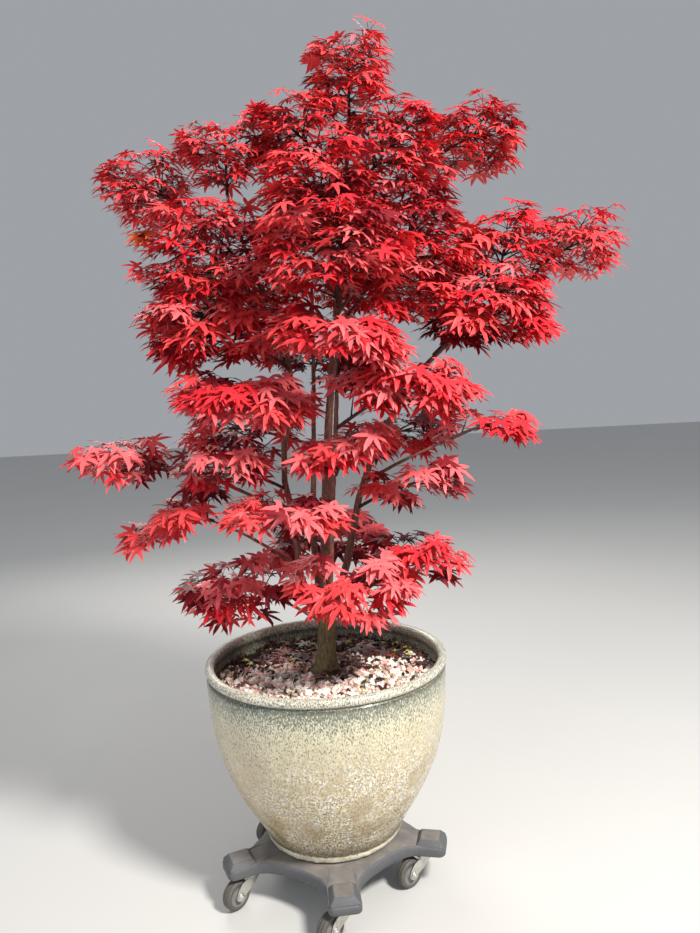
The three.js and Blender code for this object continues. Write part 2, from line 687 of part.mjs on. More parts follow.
function makeFeeder(mass) {
  const host = limbs[mass.on];
  const centre = vector(mass.centre);
  const start = host.curve.getPointAt(mass.at);
  const fromTip = mass.at === 1;
  const foot = fromTip ? host.tip : FEEDER_FOOT_RADIUS;
  if (fromTip) {
    start.addScaledVector(host.curve.getTangentAt(1), GAP);
  }
  const onward = centre.clone().sub(start).normalize();
  const end = centre.clone().addScaledVector(onward, FEEDER_PAST_MIDDLE * mass.size[0]);
  const middle = start.clone().lerp(end, 0.5);
  if (fromTip) {
    const reach = start.distanceTo(end) * FEEDER_FIRST_REACH;
    middle.copy(start).addScaledVector(host.curve.getTangentAt(1), reach);
  } else {
    middle.z += FEEDER_RISE * start.distanceTo(end);
  }
  const curve = new THREE.QuadraticBezierCurve3(start, middle, end);
  const radiusAt = (t) => THREE.MathUtils.lerp(foot, FEEDER_TIP_RADIUS, t);
  const clearRadius = (t) => radiusAt(t) + FEEDER_CLEARANCE;
  const steps = Math.max(2, Math.round(start.distanceTo(end) / FEEDER_STEP));
  let solid = solidOf(limbGeometry(curve, radiusAt, FEEDER_SIDES, steps));
  if (!fromTip) {
    solid = largestPiece(solid.subtract(host.grown));
  }
  const clearance = solidOf(limbGeometry(curve, clearRadius, FEEDER_SIDES, steps));
  feeders[mass.name] = { curve, solid, clearance };
}

function touchesAny(solid, others) {
  return others.some((other) => !solid.intersect(other).isEmpty());
}

// A leaf on its stalk is kept only where it stays in its mass's space, clear of the limbs, clear of the other
// masses' feeders and clear of the leaves that are already there. Stalks may cross, since they are fused.
function tryLeaf(mass, grown, root, centre, forward, roll, size) {
  const place = leafPlace(centre, forward, roll);
  const normal = new THREE.Vector3().setFromMatrixColumn(place, 2);
  const stalk = centre.clone().sub(root);
  const steepness = stalk.dot(normal) / stalk.length();
  if (steepness < STALK_STEEPNESS || stalk.length() > STALK_LONGEST) {
    return null;
  }
  const geometry = leafGeometry(size, place, [root, centre], STALK_FOOT_RADIUS);
  if (!inSpace(grown.planes, mass, verticesOf(geometry).slice(STALK_SIDES))) {
    return null;
  }
  const solid = solidOf(geometry);
  const blade = solid.trimByPlane(normal.toArray(), normal.dot(centre) - LEAF_DROOP * size);
  const others = grown.leaves;
  const crosses = touchesAny(blade, others.map((leaf) => leaf.solid))
    || touchesAny(solid, others.map((leaf) => leaf.blade))
    || touchesLimb(solid, mass.name);
  return crosses ? null : { solid, blade };
}

// The feeder's point that a stalk to a given place grows from: a little nearer the foot than the nearest one
function rootFor(feeder, place) {
  const nearest = FEEDER_ROOTS.reduce((best, t) => {
    const away = feeder.curve.getPoint(t).distanceTo(place);
    return away < best.away ? { away, t } : best;
  }, { away: Infinity, t: 0 });
  return feeder.curve.getPoint(nearest.t - ROOT_SETBACK);
}

// How leaves lie in a mass: their shares of its half sizes, which way they look, how steeply they hang and
// how far they roll. Angles are in radians, and the dip is a slope.
const LEAF_HIGHEST = 0.9;
const LEAF_REACH = { least: 0.35, range: 0.6 };
const LEAF_OUT_OF_MASS = 1.4;
const LEAF_HEADING_RANGE = 1.2;
const LEAF_DIP = { least: 0.55, range: 0.6, byHeight: 0.3 };
const LEAF_ROLL_RANGE = 0.8;
const LEAF_SETBACK = 0.3;

// One leaf of a mass at a random place in it, looking out of the crown and down
function growLeaf(mass, grown, random, scale) {
  const height = LEAF_HIGHEST * (2 * random() - 1);
  const level = Math.sqrt(1 - height * height);
  const turn = 2 * Math.PI * random();
  const out = new THREE.Vector3(level * Math.cos(turn), level * Math.sin(turn), height);
  const reach = LEAF_REACH.least + LEAF_REACH.range * Math.sqrt(random());
  const middle = vector(mass.centre).add(vector(mass.size).multiply(out).multiplyScalar(reach));
  const heading = new THREE.Vector3(middle.x, middle.y, 0).normalize();
  heading.add(new THREE.Vector3(out.x, out.y, 0).multiplyScalar(LEAF_OUT_OF_MASS)).normalize();
  heading.applyAxisAngle(UP, (random() - 0.5) * LEAF_HEADING_RANGE);
  const dip = LEAF_DIP.least + LEAF_DIP.range * random() - LEAF_DIP.byHeight * height;
  const forward = heading.addScaledVector(UP, -dip).normalize();
  const roll = (random() - 0.5) * LEAF_ROLL_RANGE;
  const size = LEAF_SIZE * scale * Math.min(1, mass.size[0] / FULL_LEAF_HALF_WIDTH);
  const centre = middle.addScaledVector(forward, -LEAF_SETBACK * size);
  const leaf = tryLeaf(mass, grown, rootFor(feeders[mass.name], centre), centre, forward, roll, size);
  if (leaf) {
    grown.leaves.push(leaf);
  }
}

// A later try for a place makes a smaller leaf, which fits into the room that is left
const LAST_LEAF_LOSS = 0.45;
const FIRST_SEED = 1000;
const SEED_STEP = 77;

function makeMass(mass, number) {
  const random = seeded(FIRST_SEED + SEED_STEP * number);
  const wanted = Math.round((mass.size[0] + mass.size[1] + mass.size[2]) / LEAF_SPACING);
  const grown = { planes: spacePlanes(mass), leaves: [] };
  for (let attempt = 0; attempt < LEAF_ATTEMPTS && grown.leaves.length < wanted; attempt++) {
    growLeaf(mass, grown, random, 1 - LAST_LEAF_LOSS * attempt / LEAF_ATTEMPTS);
  }
  const pieces = [feeders[mass.name].solid, ...grown.leaves.map((leaf) => leaf.solid)];
  addMesh(`foliage_${mass.name}`, wasm.Manifold.union(pieces), materials.leaf, 0.15);
}

function makeFoliage() {
  MASSES.forEach(makeFeeder);
  MASSES.forEach(makeMass);
}

makePot();
makeSoil();
makeStand();
makeCasters();
makeTrunk();
makeStems();
makeBoughs();
makeFoliage();

const box = new THREE.Box3().setFromObject(group, true);
group.position.set(-(box.min.x + box.max.x) / 2, -(box.min.y + box.max.y) / 2, 0);
group.updateMatrixWorld(true);

export default group;
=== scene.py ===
# %% [markdown]
# # A potted Japanese maple on a rolling stand
# This file dresses a finished model of a small red maple. The sizes and places come from the frame: each
# piece is built where the frame says its solid is, and takes its place. The cells go from the camera and the
# light to the pot, the stand, the soil, the wood and the leaves.

# %% Loading the frame
import json
import math

import bmesh
import bpy
import numpy as np
from mathutils import Matrix, Vector, noise
from mathutils.bvhtree import BVHTree


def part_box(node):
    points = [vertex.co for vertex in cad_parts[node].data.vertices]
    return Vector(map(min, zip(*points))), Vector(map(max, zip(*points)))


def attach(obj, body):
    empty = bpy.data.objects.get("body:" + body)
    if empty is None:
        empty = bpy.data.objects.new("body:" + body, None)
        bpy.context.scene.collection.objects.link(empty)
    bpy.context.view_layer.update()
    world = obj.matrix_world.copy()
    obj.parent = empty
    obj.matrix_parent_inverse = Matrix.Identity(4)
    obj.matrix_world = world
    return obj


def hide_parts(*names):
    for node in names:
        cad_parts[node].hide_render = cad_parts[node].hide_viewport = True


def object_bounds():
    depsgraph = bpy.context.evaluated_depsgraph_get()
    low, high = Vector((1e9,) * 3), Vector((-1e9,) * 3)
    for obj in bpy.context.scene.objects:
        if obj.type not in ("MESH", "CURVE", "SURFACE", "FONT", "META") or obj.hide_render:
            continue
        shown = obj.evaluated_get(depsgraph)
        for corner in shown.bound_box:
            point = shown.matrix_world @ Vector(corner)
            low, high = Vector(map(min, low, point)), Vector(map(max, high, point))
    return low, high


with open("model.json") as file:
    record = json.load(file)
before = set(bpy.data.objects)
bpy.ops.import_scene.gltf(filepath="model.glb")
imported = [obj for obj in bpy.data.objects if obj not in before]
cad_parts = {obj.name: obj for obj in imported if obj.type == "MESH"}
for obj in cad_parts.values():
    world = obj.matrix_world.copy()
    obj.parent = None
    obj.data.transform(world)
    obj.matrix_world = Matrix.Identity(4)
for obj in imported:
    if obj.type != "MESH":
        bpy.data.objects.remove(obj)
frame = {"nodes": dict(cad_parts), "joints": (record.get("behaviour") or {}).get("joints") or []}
cad_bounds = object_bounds()
joints = {joint["name"]: joint for joint in frame["joints"]}
pot_low, pot_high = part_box("pot")
pot_height = pot_high.z - pot_low.z
pot_axis = (pot_low + pot_high) / 2
pot_axis.z = 0
print("pot axis", [round(value, 4) for value in pot_axis], "rim top", round(pot_high.z, 4))

# %% [markdown]
# ## Camera
# The photograph was taken standing, about 1.6 m in front of the pot and 1 m up, looking slightly down and a
# touch to the right. A camera can be aimed at a target or built from its three axes. The axes are used here,
# because the picture is also rolled by a few degrees, which an aim can't hold.

# %% Setting the camera
PHOTO_WIDTH = 700
PHOTO_HEIGHT = 933
FOCAL_PIXELS = 755
SENSOR = 36.0
CAMERA_DISTANCE = 1.571
CAMERA_HEIGHT = 1.031
LOOK_DOWN = math.radians(5.61)
LOOK_RIGHT = math.radians(2.57)
ROLL = math.radians(-2.76)


def camera_axes():
    """The camera's right, up and forward directions, with the roll in."""
    level = Vector((math.sin(LOOK_RIGHT), math.cos(LOOK_RIGHT), 0))
    forward = level * math.cos(LOOK_DOWN) - Vector((0, 0, math.sin(LOOK_DOWN)))
    right = Vector((math.cos(LOOK_RIGHT), -math.sin(LOOK_RIGHT), 0))
    up = right.cross(forward)
    rolled_right = right * math.cos(ROLL) + up * math.sin(ROLL)
    rolled_up = up * math.cos(ROLL) - right * math.sin(ROLL)
    return rolled_right, rolled_up, forward


def make_camera():
    right, up, forward = camera_axes()
    data = bpy.data.cameras.new("photo_camera")
    data.sensor_width = SENSOR
    data.lens = FOCAL_PIXELS / max(PHOTO_WIDTH, PHOTO_HEIGHT) * SENSOR
    data.clip_end = 50
    camera = bpy.data.objects.new("photo_camera", data)
    turn = Matrix((right, up, -forward)).transposed()
    place = pot_axis + Vector((0, -CAMERA_DISTANCE, CAMERA_HEIGHT))
    camera.matrix_world = Matrix.Translation(place) @ turn.to_4x4()
    bpy.context.scene.collection.objects.link(camera)
    bpy.context.scene.camera = camera
    return camera


camera = make_camera()
print("camera lens", round(camera.data.lens, 2), "mm at", [round(v, 3) for v in camera.location])

# %% [markdown]
# ## Making meshes
# Everything is made from parts, each a list of points and a list of faces worked out in code. One helper
# joins parts into an object that rides on a body of the frame. The others turn a profile round an axis, fill
# the space between two outlines, or finish a skin.

# %% Mesh helpers
def mesh_object(name, parts, materials, body="root", smooth=True):
    """One object joined from parts, each of points, faces and perhaps a material slot."""
    points = []
    faces = []
    slots = []
    start = 0
    for part_points, part_faces, *slot in parts:
        points.append(np.asarray(part_points, dtype=float))
        faces += [[index + start for index in face] for face in part_faces]
        slots += (slot or [0]) * len(part_faces)
        start += len(part_points)
    mesh = bpy.data.meshes.new(name)
    mesh.from_pydata(np.concatenate(points).tolist(), [], faces)
    for material in materials:
        mesh.materials.append(material)
    mesh.polygons.foreach_set("material_index", slots)
    mesh.polygons.foreach_set("use_smooth", [smooth] * len(faces))
    mesh.update()
    piece = bpy.data.objects.new(name, mesh)
    bpy.context.scene.collection.objects.link(piece)
    if body:
        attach(piece, body)
    return piece


def ring_faces(rings, count, start=0):
    """Faces with four sides between rings of points, each ring closed on itself."""
    return [(low + i, low + (i + 1) % count, low + count + (i + 1) % count, low + count + i)
            for low in range(start, start + count * (rings - 1), count) for i in range(count)]


def halves(quads):
    """Each face with four sides as two triangles."""
    return [(a, b, c) for a, b, c, _ in quads] + [(a, c, d) for a, _, c, d in quads]


def lathe(profile, segments):
    """A profile of (radius, height) turned round the Z axis."""
    turns = np.linspace(0, 2 * math.pi, segments, endpoint=False)
    radii, heights = np.array(profile).T[:, :, None]
    points = np.stack([radii * np.cos(turns), radii * np.sin(turns), heights + 0 * turns], axis=-1)
    return points.reshape(-1, 3), ring_faces(len(profile), segments)


def mirrored(profile):
    """The other half of a profile, so that the whole is the same above and below."""
    return [(radius, -height) for radius, height in reversed(profile)]


def slab(foot, top):
    """The closed solid between two outlines of as many points, both anticlockwise from above."""
    count = len(foot)
    caps = [(0, *range(count - 1, 0, -1)), tuple(range(count, 2 * count))]
    return [*foot, *top], caps + ring_faces(2, count)


def prism(outline, low, high):
    """A flat outline raised from one height to another."""
    return slab([(x, y, low) for x, y in outline], [(x, y, high) for x, y in outline])


def moved(part, matrix):
    """A part's points carried by a matrix."""
    points, faces = part
    return np.asarray(points) @ np.array(matrix.to_3x3()).T + np.array(matrix.translation), faces


def unit(vector):
    return vector / max(1e-9, float(np.linalg.norm(vector)))


def bezier(corners, t):
    """A point on a curve with four corners, from 0 to 1."""
    weights = np.array([(1 - t) ** 3, 3 * t * (1 - t) ** 2, 3 * t * t * (1 - t), t ** 3])
    return weights @ np.array(corners)


def apply_modifiers(piece):
    depsgraph = bpy.context.evaluated_depsgraph_get()
    piece.data = bpy.data.meshes.new_from_object(piece.evaluated_get(depsgraph))
    piece.modifiers.clear()


def merge_points(piece):
    """Joins points that lie in one place, so that the skin is closed, and turns its faces outwards."""
    work = bmesh.new()
    work.from_mesh(piece.data)
    bmesh.ops.remove_doubles(work, verts=work.verts, dist=1e-6)
    bmesh.ops.recalc_face_normals(work, faces=work.faces)
    work.to_mesh(piece.data)
    work.free()


def add_bevel(piece, width, segments, angle=40):
    """Rounds the sharp edges, as moulded and pressed things have them."""
    bevel = piece.modifiers.new("bevel", "BEVEL")
    bevel.width = width
    bevel.segments = segments
    bevel.limit_method = "ANGLE"
    bevel.angle_limit = math.radians(angle)
    apply_modifiers(piece)


def push_out(piece, relief):
    """Moves each point of a skin along its normal, as far as the relief says."""
    mesh = piece.data
    pushed = [vertex.co + vertex.normal * relief(vertex.co) for vertex in mesh.vertices]
    mesh.vertices.foreach_set("co", np.array(pushed).ravel())
    mesh.update()


print("mesh helpers ready")

# %% [markdown]
# ## Shared shader effects
# Dirt, speckles and fine relief turn up on almost every surface here, only at other scales. Each effect is
# a node group with named inputs, so that the pot, the plastic and the bark can share it. The groups put out
# masks, shades, heights and normals only, and each material keeps its own shader. Small helpers add one node
# each, in the tree that their sockets belong to.

# %% Node helpers
def feed(socket, value):
    """Links a socket to another socket, or gives it a value. Colours are written without their alpha."""
    if isinstance(value, bpy.types.NodeSocket):
        socket.id_data.links.new(value, socket)
    else:
        socket.default_value = (*value, 1) if socket.type == "RGBA" else value


def add_node(tree, kind, inputs, **settings):
    """A new node with its settings made and its inputs fed, by name or by number."""
    node = tree.nodes.new(kind)
    for key, value in settings.items():
        setattr(node, key, value)
    for key, value in inputs.items():
        feed(node.inputs[key], value)
    return node.outputs


def math_node(operation, first, second=0.0, **settings):
    tree = next(value.id_data for value in (first, second) if isinstance(value, bpy.types.NodeSocket))
    return add_node(tree, "ShaderNodeMath", {0: first, 1: second}, operation=operation, **settings)[0]


def times(first, second):
    return math_node("MULTIPLY", first, second)


def plus(first, second):
    return math_node("ADD", first, second)


def vector_node(operation, first, second):
    return add_node(first.id_data, "ShaderNodeVectorMath", {0: first, 1: second}, operation=operation)[0]


def split(vector):
    return add_node(vector.id_data, "ShaderNodeSeparateXYZ", {0: vector})


def combine(x, y, z):
    return add_node(x.id_data, "ShaderNodeCombineXYZ", {0: x, 1: y, 2: z})[0]


def ranged(value, start, end, low=0.0, high=1.0):
    """A value carried from one range to another, and held inside it."""
    inputs = {"Value": value, "From Min": start, "From Max": end, "To Min": low, "To Max": high}
    return add_node(value.id_data, "ShaderNodeMapRange", inputs)["Result"]


def cloud(place, scale, detail, roughness=0.5):
    inputs = {"Vector": place, "Scale": scale, "Detail": detail, "Roughness": roughness}
    return add_node(place.id_data, "ShaderNodeTexNoise", inputs)


def bump(height, distance, strength=1.0):
    inputs = {"Height": height, "Distance": distance, "Strength": strength}
    return add_node(height.id_data, "ShaderNodeBump", inputs)["Normal"]


def geometry(place, output):
    return add_node(place.id_data, "ShaderNodeNewGeometry", {})[output]


def mix_colour(mask, first, second):
    return add_node(mask.id_data, "ShaderNodeMix", {0: mask, 6: first, 7: second}, data_type="RGBA")[2]


def layer(under, mask, share, over):
    """A colour laid over another where the mask is, as strongly as the share says."""
    return mix_colour(times(mask, share), under, over)


def colour_ramp(value, stops):
    """Colours run into each other between stops of position, red, green and blue."""
    ramp = value.id_data.nodes.new("ShaderNodeValToRGB")
    feed(ramp.inputs[0], value)
    elements = ramp.color_ramp.elements
    while len(elements) < len(stops):
        elements.new(0.5)
    for element, (position, *colour) in zip(elements, stops):
        element.position = position
        element.color = (*colour, 1)
    return ramp.outputs["Color"]


print("node helpers ready")


# %% The shared effects
def new_group(name, values, outputs):
    """A node group that takes a place and named numbers, and the sockets at its two ends."""
    tree = bpy.data.node_groups.new(name, "ShaderNodeTree")
    tree.interface.new_socket("Place", in_out="INPUT", socket_type="NodeSocketVector")
    for key, value in values.items():
        tree.interface.new_socket(key, in_out="INPUT", socket_type="NodeSocketFloat").default_value = value
    for key in outputs:
        kind = "NodeSocketVector" if key == "Normal" else "NodeSocketFloat"
        tree.interface.new_socket(key, in_out="OUTPUT", socket_type=kind)
    start = tree.nodes.new("NodeGroupInput").outputs
    end = tree.nodes.new("NodeGroupOutput").inputs
    return tree, start, end


def make_blotches():
    """A soft mask of irregular patches: dust, damp, lichen, lime."""
    tree, start, end = new_group("blotches", {"Size": 0.05, "Cover": 0.5, "Softness": 0.15}, ["Mask"])
    shape = cloud(start["Place"], math_node("DIVIDE", 1.0, start["Size"]), 6.0, 0.62)["Fac"]
    edge = math_node("SUBTRACT", 1.0, start["Cover"])
    low = math_node("SUBTRACT", edge, start["Softness"])
    feed(end["Mask"], ranged(shape, low, plus(edge, start["Softness"])))
    return tree


def make_speckles():
    """A mask of small separate dots of uneven size, and a shade that differs from dot to dot."""
    tree, start, end = new_group("speckles", {"Spacing": 0.004, "Dot": 0.3}, ["Mask", "Shade"])
    scale = math_node("DIVIDE", 1.0, start["Spacing"])
    wobble = vector_node("MULTIPLY", cloud(start["Place"], scale, 2.0)["Color"], (0.0015, 0.0015, 0.0015))
    place = vector_node("ADD", start["Place"], wobble)
    cells = add_node(tree, "ShaderNodeTexVoronoi", {"Vector": place, "Scale": scale, "Randomness": 1.0})
    shade = add_node(tree, "ShaderNodeSeparateColor", {0: cells["Color"]})
    size = times(shade[0], start["Dot"])
    feed(end["Mask"], ranged(cells["Distance"], size, times(size, 0.6)))
    feed(end["Shade"], shade[1])
    return tree


def make_relief():
    """A fine bumpy normal and its height, stretched along Z as far as Stretch says."""
    values = {"Size": 0.002, "Stretch": 1.0, "Depth": 0.0003}
    tree, start, end = new_group("relief", values, ["Normal", "Height"])
    scale = math_node("DIVIDE", 1.0, start["Size"])
    factors = combine(scale, scale, math_node("DIVIDE", scale, start["Stretch"]))
    height = cloud(vector_node("MULTIPLY", start["Place"], factors), 1.0, 5.0, 0.6)["Fac"]
    feed(end["Normal"], bump(height, start["Depth"]))
    feed(end["Height"], height)
    return tree


GROUPS = {"blotches": make_blotches(), "speckles": make_speckles(), "relief": make_relief()}


def effect(name, place, **values):
    """One of the shared effects placed in a material, with its own values."""
    return add_node(place.id_data, "ShaderNodeGroup", {"Place": place, **values}, node_tree=GROUPS[name])


def new_material(name, **fixed):
    """A material, its shader's sockets with the fixed numbers set, and the place on the object."""
    material = bpy.data.materials.new(name)
    material.use_nodes = True
    tree = material.node_tree
    sockets = tree.nodes["Principled BSDF"].inputs
    for key, value in fixed.items():
        sockets[key.replace("_", " ")].default_value = value
    return material, sockets, tree.nodes.new("ShaderNodeTexCoord").outputs["Object"]


def coat(sockets, colour, normal, rough=None):
    """Feeds a shader what varies over the surface."""
    feed(sockets["Base Color"], colour)
    feed(sockets["Normal"], normal)
    if rough is not None:
        feed(sockets["Roughness"], rough)


print("effects", ", ".join(GROUPS))

# %% [markdown]
# ## Floor, light and air
# A plain pale floor and a few large soft lights, as in a studio, show colours truly. The main light comes
# from above and to the right, where the sun stood.

# %% Setting the stage
FLOOR_HALF = 15.0
AIR_COLOUR = (0.82, 0.86, 0.92, 1)
AIR_STRENGTH = 0.42


def make_floor():
    material, sockets, place = new_material("pale_floor", Roughness=0.75)
    fine = effect("blotches", place, Size=0.8, Softness=0.4)["Mask"]
    feed(sockets["Base Color"], mix_colour(fine, (0.56, 0.555, 0.54), (0.6, 0.595, 0.58)))
    corners = [(x * FLOOR_HALF, y * FLOOR_HALF, 0) for x, y in ((-1, -1), (1, -1), (1, 1), (-1, 1))]
    floor = mesh_object("floor", [(corners, [(0, 1, 2, 3)])], [material], body=None)


def add_light(name, place, target, size, power, colour):
    data = bpy.data.lights.new(name, "AREA")
    data.shape = "DISK"
    data.size = size
    data.energy = power
    data.color = colour
    light = bpy.data.objects.new(name, data)
    light.location = place
    light.rotation_euler = (Vector(target) - Vector(place)).to_track_quat("-Z", "Y").to_euler()
    bpy.context.scene.collection.objects.link(light)


def make_air():
    world = bpy.data.worlds.new("studio")
    world.use_nodes = True
    background = world.node_tree.nodes["Background"].inputs
    background["Color"].default_value = AIR_COLOUR
    background["Strength"].default_value = AIR_STRENGTH
    bpy.context.scene.world = world
    bpy.context.scene.view_settings.view_transform = "Standard"


make_floor()
add_light("sun_side", (1.7, -2.0, 3.2), (0, 0, 0.9), 0.7, 232, (1.0, 0.97, 0.92))
add_light("fill_side", (-2.4, -2.4, 1.6), (0, 0, 0.8), 2.5, 26, (0.94, 0.97, 1.0))
add_light("back_light", (-0.9, 2.6, 2.6), (0, 0, 1.1), 1.8, 45, (1.0, 0.97, 0.93))
make_air()

# %% [markdown]
# ## Glaze
# The pot is stoneware under a speckled celadon glaze. It ran while it melted, so it is pale where it thinned
# over the rim, bluish green under the shoulder and cream to olive lower down, with streaks that run
# downwards. Years of watering left a pale crust of lime. A picture could be wrapped round the pot, but the
# layers are worked out here from height and from the way round the pot, so they stay sharp at any distance.

# %% Glaze material
# The glaze from the foot at 0 to the rim at 1, with painted shade in the groove under the rim: level, red,
# green, blue
GLAZE_AND_SHADE_STOPS = [
    (0.0, 0.82, 0.77, 0.62), (0.041, 0.84, 0.78, 0.61), (0.048, 0.15, 0.1, 0.04), (0.1, 0.34, 0.235, 0.1),
    (0.22, 0.52, 0.38, 0.2), (0.5, 0.57, 0.455, 0.28), (0.8, 0.72, 0.66, 0.47), (0.92, 0.69, 0.71, 0.57),
    # The near-black stop at 0.94 and the grey at 0.953 are painted shade: the groove under the rim and the
    # underside of the rim's roll
    (0.94, 0.02, 0.022, 0.02), (0.953, 0.4, 0.41, 0.33), (0.965, 0.82, 0.76, 0.64), (0.995, 0.66, 0.65, 0.54),
]
# How thick the dark specks are at each level
SPECK_SHARES = [(0.04, 0.08), (0.05, 1.0), (0.12, 0.62), (0.35, 0.28), (0.6, 0.2), (0.8, 0.34), (0.87, 0.6),
                (0.93, 1.0), (0.96, 0.5), (1.0, 0.45)]
DARK_STOPS = [(0.1, 0.075, 0.055, 0.025), (0.6, 0.13, 0.115, 0.07), (0.88, 0.04, 0.06, 0.05)]
STREAK_STRETCH = 0.35
STREAK_DRIFT = 0.16
BESIDE = (3.1, 1.7, 4.3)


def run_down(level, around, height):
    """The level with the streaks of the run in it, on the wall only. Rim and foot keep their edges."""
    ring = combine(math_node("COSINE", around), math_node("SINE", around), times(height, STREAK_STRETCH))
    streaks = cloud(ring, 14.0, 5.0, 0.65)["Fac"]
    drift = times(math_node("SUBTRACT", streaks, 0.5), STREAK_DRIFT)
    on_wall = times(ranged(level, 0.9, 0.8), ranged(level, 0.04, 0.14, 0.08))
    return plus(level, times(drift, on_wall))


def lime_crust_and_sunlight(place, beside, level, side):
    """Where lime lies: in grains and patches on the lower wall, faded out away from the sunlit side, which
    partly paints sunlight on the pale crust.
    """
    grain = effect("relief", beside, Size=0.0034, Stretch=1.2)["Height"]
    patches = effect("blotches", place, Size=0.08, Cover=0.57, Softness=0.06)["Mask"]
    crust = times(ranged(grain, 0.44, 0.52), patches)
    crust = times(times(crust, ranged(level, 0.045, 0.15)), ranged(level, 0.78, 0.55))
    # The crust fades out away from the sunlit side: real lime, with painted sunlight
    return math_node("MULTIPLY", crust, ranged(side, -0.2, 0.0, 0.45), use_clamp=True)


def glaze_material():
    material, sockets, place = new_material("celadon_glaze", Coat_Weight=0.35, Coat_Roughness=0.08)
    x, y, z = split(vector_node("SUBTRACT", place, tuple(pot_axis)))
    height = math_node("SUBTRACT", z, pot_low.z)
    level = math_node("DIVIDE", height, pot_height)
    run_level = run_down(level, math_node("ARCTAN2", y, x), height)
    specks = colour_ramp(run_level, [(at, share, share, share) for at, share in SPECK_SHARES])
    dark_grain = effect("relief", place, Size=0.0021, Stretch=2.2)["Height"]
    dark = ranged(plus(dark_grain, times(specks, 0.2)), 0.585, 0.64)
    colour = layer(colour_ramp(run_level, GLAZE_AND_SHADE_STOPS), dark, 0.85, colour_ramp(level, DARK_STOPS))
    beside = vector_node("ADD", place, BESIDE)
    light_grain = effect("relief", beside, Size=0.0026, Stretch=1.8)["Height"]
    colour = layer(colour, ranged(light_grain, 0.55, 0.66), 0.65, (0.86, 0.81, 0.64))
    rust = effect("blotches", place, Size=0.011, Cover=0.34, Softness=0.06)["Mask"]
    colour = layer(colour, rust, 0.5, (0.68, 0.44, 0.14))
    clouds = effect("blotches", place, Size=0.07, Cover=0.45, Softness=0.2)["Mask"]
    colour = layer(colour, clouds, 0.3, (0.27, 0.22, 0.125))
    crust = lime_crust_and_sunlight(place, beside, level, x)
    grains = effect("speckles", place, Spacing=0.006, Dot=0.9)["Shade"]
    colour = layer(colour, crust, 0.95, mix_colour(grains, (0.98, 0.97, 0.9), (0.8, 0.66, 0.38)))
    worn = effect("blotches", place, Cover=0.4, Softness=0.2)["Mask"]
    rough = plus(plus(times(crust, 0.5), times(worn, 0.2)), 0.24)
    raised = plus(times(crust, 0.8), times(dark, -0.12))
    coat(sockets, colour, bump(raised, 0.0016, 0.9), rough)
    return material


glaze = glaze_material()
print("glaze", len(glaze.node_tree.nodes), "nodes")

# %% [markdown]
# ## Pot
# The bowl was thrown on a wheel: one full curve from a narrow foot to a steep shoulder, then a groove and a
# thick rolled rim. A lathe of one profile is the natural way to make it. Its skin is then pushed in and out
# by a few millimetres at most, with throwing lines, lime and a rough ring at the foot, so that highlights
# break up as they do on a real pot.

# %% Making the pot
RIM_ROLL = 0.0095
POT_WALL = 0.015
FOOT_RADIUS = 0.142
POT_SEGMENTS = 380
FACET_LOSS = 0.0008
FOOT_RING_TOP = 0.0175
FOOT_RING_DEPTH = 0.0026
LIME_DEPTH = 0.0022
rim_radius = (pot_high.y - pot_low.y) / 2 + FACET_LOSS
shoulder = (rim_radius - 0.003, pot_height - 0.023)


def bowl_curve(t):
    """The outside of the bowl, from the foot at 0 to the shoulder at 1."""
    return bezier([(FOOT_RADIUS, 0.006), (FOOT_RADIUS + 0.042, 0.098), (shoulder[0], 0.15), shoulder], t)


def pot_profile():
    foot = [(0.0, 0.004), (FOOT_RADIUS - 0.022, 0.004), (FOOT_RADIUS - 0.018, 0.0),
            (FOOT_RADIUS - 0.004, 0.0), (FOOT_RADIUS - 0.001, 0.002)]
    wall = [tuple(bowl_curve(t)) for t in np.linspace(0, 1, 96)]
    groove = [(shoulder[0] - 0.0015, shoulder[1] + 0.0015), (shoulder[0] - 0.005, shoulder[1] + 0.0035)]
    centre = (rim_radius - RIM_ROLL, pot_height - RIM_ROLL)
    roll = [(centre[0] + RIM_ROLL * math.cos(a), centre[1] + RIM_ROLL * math.sin(a))
            for a in np.radians(np.arange(-58, 190, 12))]
    lip = [(centre[0] - RIM_ROLL + 0.0006, centre[1] - 0.004)]
    inside = [(r - POT_WALL, z) for r, z in (bowl_curve(t) for t in np.linspace(1, 0.12, 16))]
    floor = [(inside[-1][0] - 0.014, 0.024), (0.0, 0.024)]
    return foot + wall + groove + roll + lip + inside + floor


def pot_relief(point):
    """How far the pot's skin stands out or in at a point, in metres. Its underside stays flat."""
    height = point.z - pot_low.z
    if (point.xy - pot_axis.xy).length <= FOOT_RADIUS - 0.01 or height <= 0.004:
        return 0.0
    turning = 0.00022 * math.sin(point.z * 520 + 1.5 * noise.noise(point * 6))
    wobble = 0.0009 * noise.noise(Vector((point.x, point.y, point.z * 0.6)) * 7)
    runs = 0.0005 * noise.noise(Vector((point.x * 45, point.y * 45, point.z * 7)))
    lime = max(0.0, noise.noise(point * 170) + 0.4 * noise.noise(point * 380) - 0.1) * LIME_DEPTH
    patch = min(1.0, max(0.0, noise.noise(point * 9 + Vector((4, 2, 7))) * 2.5 + 0.5))
    on_crust = max(0.0, min(1.0, (height - 0.03) / 0.06, (0.31 - height) / 0.08))
    on_ring = max(0.0, min(1.0, (FOOT_RING_TOP - height) / 0.004))
    ring = FOOT_RING_DEPTH * (1 + 0.7 * noise.noise(point * 90)) * on_ring
    return turning + wobble + runs + lime * patch * on_crust + ring


def make_pot():
    place = Matrix.Translation((pot_axis.x, pot_axis.y, pot_low.z))
    pot = mesh_object("pot_skin", [moved(lathe(pot_profile(), POT_SEGMENTS), place)], [glaze])
    merge_points(pot)
    push_out(pot, pot_relief)
    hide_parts("pot")
    return pot


